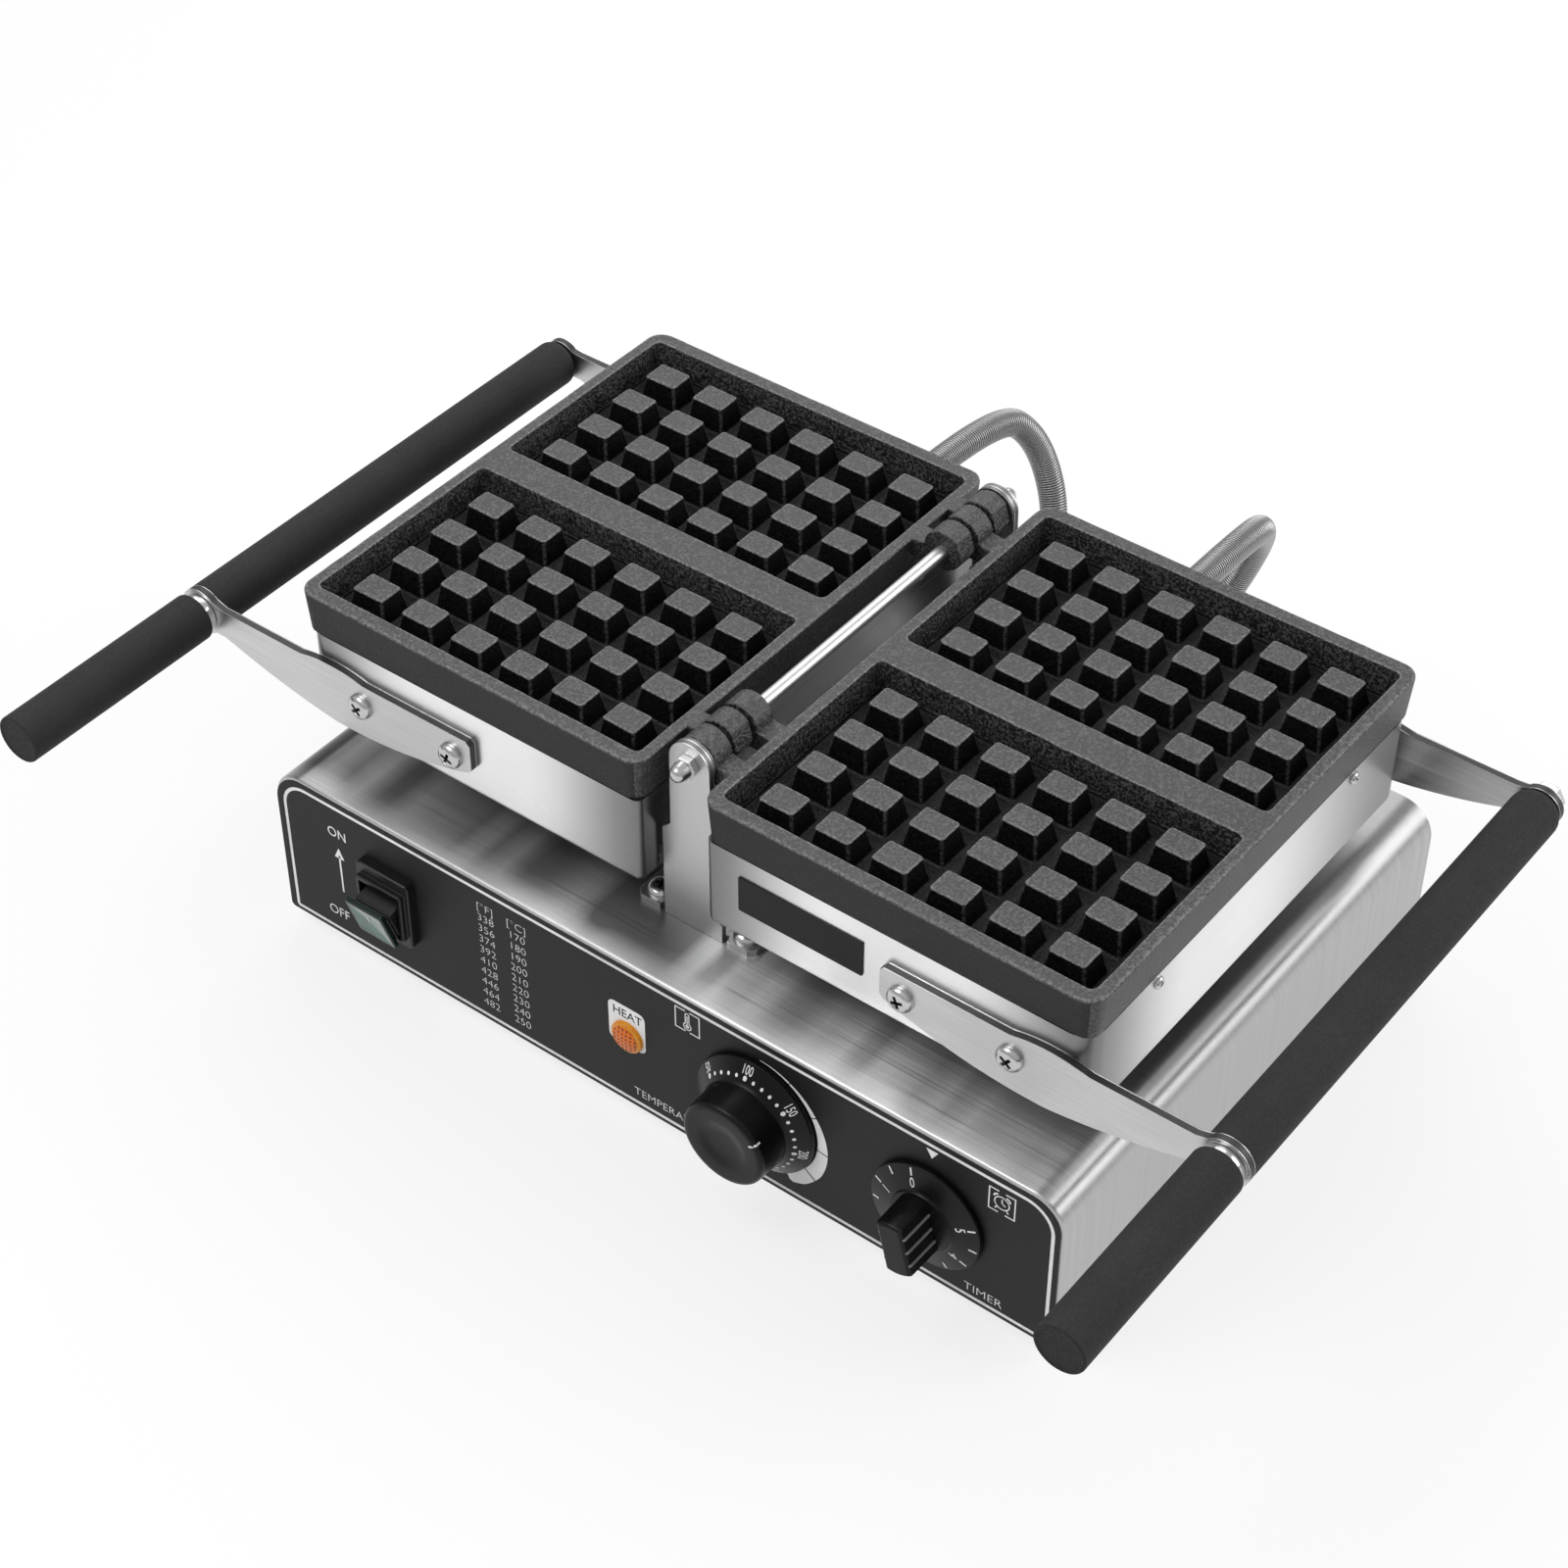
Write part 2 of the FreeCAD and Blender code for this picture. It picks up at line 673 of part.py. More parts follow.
def knuckle_spans():
    """Where the three knuckles at the front end of the hinge lie along Y."""
    first = ear_front + EAR_SHEET + WASHER_SHEET + WASHER_GAP
    starts = [first + (KNUCKLE_LENGTH + KNUCKLE_GAP) * number for number in range(3)]
    return [(start, start + KNUCKLE_LENGTH) for start in starts]


def hinge_knuckles(casting):
    """First and third knuckles at the front, second at the back, with tongues to the casting."""
    first, second, third = knuckle_spans()
    back_second = (2 * plate_mid_y - second[1], 2 * plate_mid_y - second[0])
    knuckles = []
    for y0, y1 in (first, third, back_second):
        start = vec(0, y0, hinge_z)
        end = vec(0, y1, hinge_z)
        tongue = box(0, plate_inner + CAST_DRAFT, y0, y1, hinge_z - KNUCKLE_RADIUS, rim_top)
        knuckle = rod(start, end, KNUCKLE_RADIUS).fuse(tongue).removeSplitter()
        knuckles.append(knuckle.cut(rod(start, end, ROD_RADIUS + RUN_CLEARANCE)).cut(casting))
    return group(knuckles)


def arm_screw_places(y):
    first = arm_start + ARM_SCREW_INSET
    return [vec(x, y, cast_bottom - ARM_SCREW_DROP) for x in (first, first + ARM_SCREW_PITCH)]


def gland_on_housing():
    return vec(CONDUIT_PLATE_X, housing_back, cast_bottom - CONDUIT_PLATE_DROP)


def housing_block(inset):
    """The housing's outside, or its inside when set in by the sheet."""
    low = housing_bottom + inset
    outline = round_outline(housing_inner + inset, housing_outer - inset, housing_front + inset,
                            housing_back - inset, low, HOUSING_CORNER - inset, HOUSING_HINGE_CORNER - inset)
    block = Part.Face(outline).extrude(Z_AXIS * (cast_bottom - low))
    low_edges = [e for e in block.Edges if e.BoundBox.ZMax < low + 0.01]
    return block.makeFillet(HOUSING_BEND - inset, low_edges)


def housing():
    shell = housing_block(0.0).cut(housing_block(HOUSING_SHEET))
    through = 2 * HOUSING_SHEET
    for y in (housing_front, housing_back):
        shell = shell.cut(holes(arm_screw_places(y), Y_AXIS * through, M6_RADIUS + HOLE_CLEARANCE))
    shell = shell.cut(holes([gland_on_housing()], Y_AXIS * through, gland_neck_radius + HOLE_CLEARANCE))
    side_seats = [seat for seat, out in side_screw_seats()]
    return shell.cut(holes(side_seats, X_AXIS * through, M4_RADIUS + HOLE_CLEARANCE))


def heater_legs():
    return spread(plate_inner, plate_outer, HEATER_SIDE_INSET, HEATER_LEGS)


def heater():
    """A tubular element bent to and fro against the casting's underside, its ends at the back."""
    legs = heater_legs()
    bend = (legs[1] - legs[0]) / 2
    front = PLATE_FRONT + HEATER_END_INSET + bend
    back = plate_back - HEATER_END_INSET - bend
    edges = []
    here = vec(legs[0], back + bend, heater_z)
    for number, x in enumerate(legs[:-1]):
        end_y, swing = (front, -bend) if number % 2 == 0 else (back, bend)
        there = vec(x, end_y, heater_z)
        beyond = vec(legs[number + 1], end_y, heater_z)
        edges.append(Part.makeLine(here, there))
        edges.append(Part.Arc(there, vec(x + bend, end_y + swing, heater_z), beyond).toShape())
        here = beyond
    edges.append(Part.makeLine(here, vec(here.x, back + bend, heater_z)))
    section = Part.makeCircle(HEATER_RADIUS, vec(legs[0], back + bend, heater_z), Y_AXIS)
    return Part.Wire(edges).makePipeShell([Part.Wire([section])], True, False)


def heater_clamp():
    legs = heater_legs()
    inset = HEATER_END_INSET + CLAMP_END_INSET
    plate = box(legs[0] - CLAMP_OVERHANG, legs[-1] + CLAMP_OVERHANG, PLATE_FRONT + inset, plate_back - inset,
                clamp_top - CLAMP_SHEET, clamp_top)
    return plate.cut(holes(clamp_post_ends(), Z_AXIS * (2 * CLAMP_SHEET), M4_RADIUS + HOLE_CLEARANCE))


def insulation():
    """A pad on the housing's floor, up to just under the clamp's screws, clear of the wiring bay."""
    margin = INSULATION_MARGIN
    top = clamp_top - CLAMP_SHEET - M4_HEAD_HEIGHT - INSULATION_GAP
    return box(housing_inner + margin, housing_outer - margin, housing_front + margin,
               housing_back - WIRING_BAY, housing_bottom + HOUSING_SHEET, top)


def plate_screws():
    screws = [m4_screw(seat, out) for seat, out in side_screw_seats()]
    return group(screws + [m4_screw(end - Z_AXIS * CLAMP_SHEET, -Z_AXIS) for end in clamp_post_ends()])


def handle_point(y):
    return vec(handle_x, y, handle_z)


def arm(y0, eye_radius):
    """A flat arm: square inner end, deep belly under the housing's corner, round eye at the handle."""
    top = cast_bottom - ARM_TOP_DROP
    belly = top - ARM_BELLY
    end_low = top - ARM_END_WIDTH
    deepest = (arm_start + handle_x) / 2
    hump = plate_outer - ARM_HUMP_INSET
    rise = eye_radius * math.sqrt(0.5)
    neck = handle_x - eye_radius * EYE_NECK
    chamfer = ARM_END_CHAMFER
    hump_arc = ((hump, top + ARM_HUMP), (hump + ARM_HUMP_HALF, top))
    far_side = ((handle_x + eye_radius, handle_z), (handle_x - rise, handle_z - rise))
    outer_belly = ((deepest + ARM_BELLY_STEP, belly + ARM_BELLY_RISE_OUT), (deepest, belly))
    inner_belly = ((deepest - ARM_BELLY_STEP, belly + ARM_BELLY_RISE_IN), (arm_start + chamfer, end_low))
    points = [(arm_start + chamfer, top), (hump - ARM_HUMP_HALF, top), hump_arc, (neck, top),
              (handle_x - rise, handle_z + rise), far_side, (neck, handle_z - rise), outer_belly,
              inner_belly, (arm_start, end_low + chamfer), (arm_start, top - chamfer)]
    plate = slab(points, y0, y0 + ARM_SHEET)
    through = Y_AXIS * (2 * ARM_SHEET)
    plate = plate.cut(holes([handle_point(y0)], through, HANDLE_ROD_RADIUS + FIT_CLEARANCE))
    return plate.cut(holes(arm_screw_places(y0), through, M6_RADIUS + HOLE_CLEARANCE))


def arm_screws():
    """Screws through the arms and the housing's end walls, with their nuts inside."""
    pieces = []
    length = ARM_SHEET + HOUSING_SHEET + M6_NUT_HEIGHT + M6_SPARE
    bore = M6_RADIUS + FIT_CLEARANCE
    for wall, out in ((housing_front, -Y_AXIS), (housing_back, Y_AXIS)):
        for place in arm_screw_places(wall):
            pieces.append(m6_screw(place + out * ARM_SHEET, out, length))
            inside = place - out * HOUSING_SHEET
            pieces.append(hex_nut(inside, inside - out * M6_NUT_HEIGHT, M6_NUT_RADIUS, bore))
    return group(pieces)


def front_grip_ends():
    back = arm_front - COLLAR_LENGTH
    return back - FRONT_GRIP_LENGTH, back


def handle_rod():
    front, back = front_grip_ends()
    end = handle_point(arm_back + M8_NUT_HEIGHT)
    return rod(handle_point(front + FRONT_GRIP_CAP), end, HANDLE_ROD_RADIUS)


def end_rims(tube, y):
    return [e for e in tube.Edges if abs(e.CenterOfMass.y - y) < 0.01 and len(e.Vertexes) == 1]


def front_grip():
    """The short grip in front of the arm, closed at its front end."""
    front, back = front_grip_ends()
    tube = rod(handle_point(front), handle_point(back), GRIP_RADIUS)
    tube = tube.makeFillet(GRIP_EDGE, end_rims(tube, front) + end_rims(tube, back))
    bore = rod(handle_point(front + FRONT_GRIP_CAP), handle_point(back), HANDLE_ROD_RADIUS + FIT_CLEARANCE)
    return tube.cut(bore)


def long_grip():
    """The long grip between the arms, well rounded at its back end."""
    front = handle_point(housing_front)
    back = handle_point(housing_back)
    tube = rod(front, back, GRIP_RADIUS)
    tube = tube.makeFillet(GRIP_EDGE, end_rims(tube, housing_front))
    tube = tube.makeFillet(GRIP_ROUND, end_rims(tube, housing_back))
    return tube.cut(rod(front, back, HANDLE_ROD_RADIUS + FIT_CLEARANCE))


def handle_nuts():
    """The collar between front grip and arm, and the nut behind the back arm."""
    bore = HANDLE_ROD_RADIUS + FIT_CLEARANCE
    collar = ring(handle_point(arm_front - COLLAR_LENGTH), handle_point(arm_front), COLLAR_RADIUS, bore)
    nut = hex_nut(handle_point(arm_back), handle_point(arm_back + M8_NUT_HEIGHT), M8_NUT_RADIUS, bore)
    return group([collar, nut])


def badge_plate():
    """A bare plate on the right housing's front, between its corner and the arm."""
    top = cast_bottom - BADGE_DROP
    return box(housing_inner + BADGE_INSET, arm_start - BADGE_GAP, housing_front - BADGE_SHEET, housing_front,
               top - BADGE_HEIGHT, top)


# Conduits


def gland(wall, sheet):
    """A gland on a wall facing the back: cup outside, neck through the wall, lock nut inside."""
    mouth = wall + Y_AXIS * GLAND_LENGTH
    inside = wall - Y_AXIS * sheet
    neck_end = inside - Y_AXIS * GLAND_NECK
    body = rod(wall, mouth, gland_cup_radius).fuse(rod(neck_end, wall, gland_neck_radius)).removeSplitter()
    body = body.cut(rod(wall, mouth, CONDUIT_RADIUS + FIT_CLEARANCE)).cut(rod(neck_end, wall, CONDUIT_BORE))
    nut_end = inside - Y_AXIS * LOCKNUT_SHEET
    return [body, ring(nut_end, inside, gland_cup_radius, gland_neck_radius + FIT_CLEARANCE)]


def plate_gland():
    return group(gland(gland_on_housing(), HOUSING_SHEET))


def base_glands():
    pieces = []
    for place in conduit_gland_places():
        pieces = pieces + gland(place, PANEL_SHEET)
    return group(pieces)


def mains_gland():
    return group(gland(mains_gland_place(), PANEL_SHEET))


def conduit():
    """A ribbed hose from the housing's gland, back, round a half circle, forward to the base's gland."""
    upper = gland_on_housing()
    lower = vec(CONDUIT_BASE_X, base_back, base_bottom + CONDUIT_BASE_RISE)
    drop = vec(lower.x - upper.x, 0, lower.z - upper.z)
    bend = drop.Length / 2
    down = drop / drop.Length
    across = Y_AXIS.cross(down)
    turn_y = base_back + CONDUIT_RUN
    upper_turn = vec(upper.x, turn_y, upper.z)
    lower_turn = vec(lower.x, turn_y, lower.z)
    centre = (upper_turn + lower_turn) / 2
    upper_run = turn_y - upper.y
    bend_run = math.pi * bend
    total = upper_run + bend_run + CONDUIT_RUN

    def hoop(along, radius):
        """A circle round the hose's middle line at a length along it."""
        if along <= upper_run:
            point, way = upper + Y_AXIS * along, Y_AXIS
        elif along >= upper_run + bend_run:
            point, way = lower + Y_AXIS * (total - along), -Y_AXIS
        else:
            angle = (along - upper_run) / bend
            point = centre - down * (bend * math.cos(angle)) + Y_AXIS * (bend * math.sin(angle))
            way = down * math.sin(angle) + Y_AXIS * math.cos(angle)
        circle = Part.makeCircle(radius)
        turn = FreeCAD.Rotation(across, way.cross(across), way, "XZY")
        circle.Placement = FreeCAD.Placement(point, turn)
        return Part.Wire([circle])

    pitch = total / CONDUIT_RIBS
    root = CONDUIT_RADIUS - CONDUIT_RIB_DEPTH
    rib_section = ((0.0, root), (0.25, CONDUIT_RADIUS), (0.65, CONDUIT_RADIUS), (0.9, root))
    hoops = []
    for rib in range(CONDUIT_RIBS):
        hoops = hoops + [hoop((rib + share) * pitch, radius) for share, radius in rib_section]
    skin = Part.makeLoft(hoops + [hoop(total, root)], True, True)
    path = Part.Wire([Part.makeLine(upper, upper_turn),
                      Part.Arc(upper_turn, centre + Y_AXIS * bend, lower_turn).toShape(),
                      Part.makeLine(lower_turn, lower)])
    return skin.cut(path.makePipeShell([hoop(0, CONDUIT_BORE)], True, False))


# Controls


def switch_pocket():
    """Half width and half height of the pocket, which clears the rocker's stem at both ends of its swing."""
    tilt = math.radians(ROCKER_TILT)
    mouth = SWITCH_FLANGE + SWITCH_COLLAR
    stem_reach = (ROCKER_STEM / 2 + mouth * math.sin(tilt)) / math.cos(tilt)
    return ROCKER_WIDTH / 2 + ROCKER_SIDE_GAP, stem_reach + ROCKER_SWING_GAP


def switch_barrel():
    half_x, half_z = switch_pocket()
    return half_x + SWITCH_WALL, half_z + SWITCH_WALL


def switch_block(half_x, half_z, y0, y1):
    return box(switch_x - half_x, switch_x + half_x, y0, y1, control_z - half_z, control_z + half_z)


def rocker_pivot():
    return vec(switch_x, base_front, control_z)


def switch_bezel():
    """A stepped flange in front, a barrel behind, and the rocker's pocket with its two pin holes."""
    barrel_x, barrel_z = switch_barrel()
    flange_face = base_front - SWITCH_FLANGE
    collar_face = flange_face - SWITCH_COLLAR
    flange = switch_block(SWITCH_WIDTH / 2, SWITCH_HEIGHT / 2, flange_face, base_front)
    barrel = switch_block(barrel_x, barrel_z, collar_face, base_front + SWITCH_BARREL)
    pocket_x, pocket_z = switch_pocket()
    pocket = switch_block(pocket_x, pocket_z, collar_face, base_front + SWITCH_POCKET)
    reach = X_AXIS * (pocket_x + ROCKER_PIN_LENGTH)
    pins = rod(rocker_pivot() - reach, rocker_pivot() + reach, ROCKER_PIN_RADIUS + RUN_CLEARANCE)
    return flange.fuse(barrel).removeSplitter().cut(pocket).cut(pins)


def switch_rocker():
    """A dished cap on a narrower stem with two pins, tilted so that its upper half stands out."""
    pivot = rocker_pivot()
    x0 = pivot.x - ROCKER_WIDTH / 2
    front = pivot.y - ROCKER_REACH
    shoulder = front + ROCKER_CAP
    back = pivot.y + ROCKER_BACK
    half = ROCKER_HEIGHT / 2
    stem = ROCKER_STEM / 2
    top = vec(x0, front, pivot.z + half)
    low = vec(x0, front, pivot.z - half)
    dish = Part.Arc(top, vec(x0, front + ROCKER_DISH, pivot.z), low).toShape()
    corners = [low]
    for y, rise in ((shoulder, -half), (shoulder, -stem), (back, -stem), (back, stem), (shoulder, stem),
                    (shoulder, half)):
        corners.append(vec(x0, y, pivot.z + rise))
    corners.append(top)
    sides = [Part.makeLine(a, b) for a, b in zip(corners, corners[1:])]
    key = Part.Face(Part.Wire([dish] + sides)).extrude(X_AXIS * ROCKER_WIDTH)
    reach = X_AXIS * (ROCKER_WIDTH / 2 + ROCKER_PIN_LENGTH)
    rocker = key.fuse(rod(pivot - reach, pivot + reach, ROCKER_PIN_RADIUS)).removeSplitter()
    rocker.rotate(pivot, X_AXIS, ROCKER_TILT)
    return rocker


def lamp_lens():
    """A domed lens on the film."""
    profile = [(0, 0), (LAMP_RADIUS, 0), (LAMP_RADIUS, LAMP_RISE * 0.5), (LAMP_RADIUS * 0.8, LAMP_RISE * 0.9),
               (LAMP_RADIUS * 0.4, LAMP_RISE), (0, LAMP_RISE)]
    return turned_on_front(profile, lamp_x, control_z)


def lamp_body():
    """The lamp's barrel through the panel, with the nut that holds it."""
    start = vec(lamp_x, base_front, control_z)
    nut_start = vec(lamp_x, panel_rear, control_z)
    barrel = rod(start, start + Y_AXIS * LAMP_BODY_LENGTH, LAMP_BODY_RADIUS)
    return barrel.fuse(rod(nut_start, nut_start + Y_AXIS * LOCKNUT_SHEET, LAMP_RADIUS)).removeSplitter()


def shaft(x, z, knob_height):
    """A control's shaft, from inside its body to the knob's hub."""
    return rod(vec(x, panel_rear, z), vec(x, base_front - knob_height + 2 * KNOB_WALL, z), SHAFT_RADIUS)


def temperature_shaft():
    return shaft(temperature_x, control_z, TEMPERATURE_HEIGHT)


def timer_shaft():
    return shaft(timer_x, timer_z, TIMER_HEIGHT)


def temperature_knob():
    """A tall round knob on a sloping skirt, dished in front and hollow round its hub."""
    top = TEMPERATURE_HEIGHT
    edge = TEMPERATURE_EDGE
    grip = TEMPERATURE_GRIP
    dish = TEMPERATURE_DISH
    dish_floor = top - TEMPERATURE_DISH_DEPTH
    profile = [(0, KNOB_STANDOFF), (TEMPERATURE_SKIRT, KNOB_STANDOFF), (TEMPERATURE_SKIRT, knob_lip),
               (grip, TEMPERATURE_SHOULDER), (grip, top - edge), (grip - edge * 0.3, top - edge * 0.3),
               (grip - edge, top), (dish, top), (dish - TEMPERATURE_DISH_DEPTH, dish_floor), (0, dish_floor)]
    knob = turned_on_front(profile, temperature_x, control_z)
    inner = grip - KNOB_WALL
    ceiling = top - 2 * KNOB_WALL
    hollow = [(0, 0), (inner, 0), (inner, ceiling), (hub_radius, ceiling), (hub_radius, hub_start),
              (0, hub_start)]
    return knob.cut(turned_on_front(hollow, temperature_x, control_z)).cut(temperature_shaft())


def timer_knob():
    """A low sloping skirt with a wing grip across it, at its angle of rest."""
    top = TIMER_HEIGHT
    half = TIMER_WING_LENGTH / 2
    half_wide = TIMER_WING_WIDTH / 2
    profile = [(0, KNOB_STANDOFF), (TIMER_SKIRT, KNOB_STANDOFF), (TIMER_SKIRT, knob_lip),
               (half_wide, TIMER_SHOULDER), (0, TIMER_SHOULDER)]
    skirt = turned_on_front(profile, timer_x, timer_z)
    wing = box(timer_x - half_wide, timer_x + half_wide, base_front - top, base_front - KNOB_STANDOFF,
               timer_z - half, timer_z + half)
    bound = [(0, KNOB_STANDOFF), (half, KNOB_STANDOFF), (half, TIMER_SHOULDER),
             (half - TIMER_WING_TAPER, top), (0, top)]
    knob = skirt.fuse(wing.common(turned_on_front(bound, timer_x, timer_z))).removeSplitter()
    hollow = [(0, 0), (hub_radius, 0), (hub_radius, hub_start), (0, hub_start)]
    knob = knob.cut(turned_on_front(hollow, timer_x, timer_z)).cut(timer_shaft())
    knob.rotate(vec(timer_x, 0, timer_z), Y_AXIS, -TIMER_REST_ANGLE)
    return knob


def bushed(body, x, z):
    """A control's body with its threaded bushing through the panel, bored for the shaft."""
    start = vec(x, panel_rear, z)
    end = vec(x, base_front - BUSHING_OUT, z)
    bushing = ring(start, end, bushing_radius, SHAFT_RADIUS + RUN_CLEARANCE)
    return body.fuse(bushing).removeSplitter()


def thermostat():
    half_x = THERMOSTAT_WIDTH / 2
    half_z = THERMOSTAT_HEIGHT / 2
    body = box(temperature_x - half_x, temperature_x + half_x, panel_rear, panel_rear + THERMOSTAT_DEPTH,
               control_z - half_z, control_z + half_z)
    return bushed(body, temperature_x, control_z)


def timer():
    start = vec(timer_x, panel_rear, timer_z)
    return bushed(rod(start, start + Y_AXIS * TIMER_BODY_DEPTH, TIMER_BODY_RADIUS), timer_x, timer_z)


# The whole machine


def base_nodes():
    """Every piece that is there once."""
    front_bracket = hinge_bracket()
    front_end = [acorn_nut(), hinge_washer()]
    return {
        "base_shell": base_shell(),
        "front_panel": front_panel(),
        "control_film": control_film(),
        "rear_panel": rear_panel(),
        "bottom_cover": bottom_cover(),
        "cover_screws": cover_screws(),
        "rubber_feet": rubber_feet(),
        "terminal_block": terminal_block(),
        "front_hinge_bracket": front_bracket,
        "rear_hinge_bracket": turned(front_bracket),
        "hinge_rod": hinge_rod(),
        "hinge_fasteners": group(front_end + [front_to_back(piece) for piece in front_end]),
        "bracket_screws": bracket_screws(),
        "base_glands": base_glands(),
        "mains_gland": mains_gland(),
        "badge_plate": badge_plate(),
        "switch_bezel": switch_bezel(),
        "switch_rocker": switch_rocker(),
        "lamp_lens": lamp_lens(),
        "lamp_body": lamp_body(),
        "temperature_knob": temperature_knob(),
        "thermostat": thermostat(),
        "thermostat_shaft": temperature_shaft(),
        "timer_knob": timer_knob(),
        "timer": timer(),
        "timer_shaft": timer_shaft(),
    }


def plate_nodes():
    """Every piece of the right-hand plate."""
    casting = grid_plate()
    return {
        "grid_plate": casting,
        "grid_cubes": grid_cubes(),
        "hinge_knuckles": hinge_knuckles(casting),
        "housing": housing(),
        "heater": heater(),
        "heater_clamp": heater_clamp(),
        "insulation": insulation(),
        "plate_screws": plate_screws(),
        "front_arm": arm(arm_front, EYE_RADIUS),
        "rear_arm": arm(housing_back, REAR_EYE_RADIUS),
        "arm_screws": arm_screws(),
        "handle_rod": handle_rod(),
        "long_grip": long_grip(),
        "front_grip": front_grip(),
        "handle_nuts": handle_nuts(),
        "plate_gland": plate_gland(),
        "conduit": conduit(),
    }


def main():
    nodes = base_nodes()
    for name, shape in plate_nodes().items():
        nodes["right_" + name] = shape
        one_pattern = name in ("grid_plate", "grid_cubes", "hinge_knuckles")
        nodes["left_" + name] = turned(shape) if one_pattern else mirrored(shape)
    os.makedirs("parts", exist_ok=True)
    for name, shape in sorted(nodes.items()):
        shape.exportStep(os.path.join("parts", name + ".step"))
        print(name, len(shape.Solids), "solids", round(shape.Volume), "mm3, valid", shape.isValid())


main()
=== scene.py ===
"""Looks of the flat-opening double waffle maker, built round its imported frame. Lengths are in mm."""

import math

import bmesh
import bpy
from mathutils import Matrix, Vector, noise


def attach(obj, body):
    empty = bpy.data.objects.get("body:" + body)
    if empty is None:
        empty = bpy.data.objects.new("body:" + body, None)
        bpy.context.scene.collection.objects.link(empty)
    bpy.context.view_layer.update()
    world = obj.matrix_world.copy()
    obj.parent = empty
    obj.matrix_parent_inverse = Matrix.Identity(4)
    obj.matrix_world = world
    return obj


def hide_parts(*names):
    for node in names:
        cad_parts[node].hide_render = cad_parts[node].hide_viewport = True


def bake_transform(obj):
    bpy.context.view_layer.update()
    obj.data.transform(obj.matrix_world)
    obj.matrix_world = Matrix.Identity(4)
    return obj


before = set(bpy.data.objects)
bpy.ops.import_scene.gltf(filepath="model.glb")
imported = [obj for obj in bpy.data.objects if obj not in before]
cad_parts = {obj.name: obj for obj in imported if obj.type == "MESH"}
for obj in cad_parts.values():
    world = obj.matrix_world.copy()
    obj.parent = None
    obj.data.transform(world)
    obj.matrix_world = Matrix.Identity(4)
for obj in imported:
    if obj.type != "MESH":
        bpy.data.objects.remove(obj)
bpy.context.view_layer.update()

scene = bpy.context.scene
scene.view_settings.view_transform = "Standard"

MM = 0.001
# From the drawing's middle to the frame's
PLAN_Y = 2.6
SIDES = ("left", "right")
# Edges that turn by more degrees than this stay sharp
SHARP = 32

# Places shared with the frame
HINGE_Z = 181.0
PLATE_MID_Y = -8.65
CAST_X = (15.2, 198.6)
CAST_Y = (-127.75, 110.45)
CAST_Z = (159.5, 180.6)
CAST_DRAFT = 1.6
PAN_X = (20.9, 192.9)
PANS_Y = ((-120.55, -17.15), (-0.15, 103.25))
PAN_FLOOR = 166.0
PAN_DRAFT = 1.0
CUBE_TOP = 178.0
CUBE_HALF = (8.15, 6.25)
CUBE_DRAFT = 2.0
CUBE_COLUMNS = (39.4, 66.4, 93.4, 120.4, 147.4, 174.4)
CUBE_ROWS = ((-104.65, -80.78, -56.92, -33.05), (15.75, 39.62, 63.48, 87.35))
HOUSING_X = (16.8, 197.0)
HOUSING_Y = (-126.15, 108.85)
HOUSING_Z = (115.5, 159.5)
HOUSING_SHEET = 1.2
BASE_Y = (-147.5, 132.5)
BASE_HALF = 205.5
BASE_TOP = 92.0
SHELL_LOW = 9.2
SHELL_SHEET = 1.5
FILM_SHEET = 0.3
EAR_Y = -114.5
REAR_EAR_Y = 2 * PLATE_MID_Y - EAR_Y
EAR_SHEET = 3.0
KNUCKLE_RADIUS = 9.5
HANDLE_X = 258.0
HANDLE_Z = 140.0
ARM_SHEET = 3.5
ARM_SCREW_Z = 135.0
SIDE_SCREW_Z = 155.3
COLLAR_FRONT = HOUSING_Y[0] - ARM_SHEET - 4.0
GRIP_FRONT = -236.0
GRIP_RADIUS = 11.0
ROD_BORE = 4.2
SWITCH = (-141.0, 50.0)
LAMP = (-8.8, 50.0)
TEMPERATURE = (59.0, 50.0)
TIMER = (143.7, 48.0)
TIMER_TURN = math.radians(13.4)
ROCKER_TILT = math.radians(18.0)

# Screw heads and nuts: radius and height
M6_HEAD = (6.0, 3.6)
M6_NUT = (5.6, 4.8)
CLAMP_HEAD = (3.6, 2.2)
SIDE_HEAD = (2.8, 1.8)

QUARTER = [math.radians(a) for a in (0, 30, 60, 90)]


# Plain sums


def ramp(value, start, length):
    """0 up to the start and 1 from the end of the length, straight between."""
    return min(1.0, max(0.0, (value - start) / length))


def from_table(table, place):
    """A value read off a table of places and values, straight between them."""
    for (a, first), (b, last) in zip(table, table[1:]):
        if place <= b:
            return first + (last - first) * (place - a) / (b - a)
    return table[-1][1]


# Meshes


def arc(cx, cy, radius, start, end, steps):
    """Points on a circle between two angles in degrees."""
    turns = [math.radians(start + (end - start) * i / steps) for i in range(steps + 1)]
    return [(cx + radius * math.cos(t), cy + radius * math.sin(t)) for t in turns]


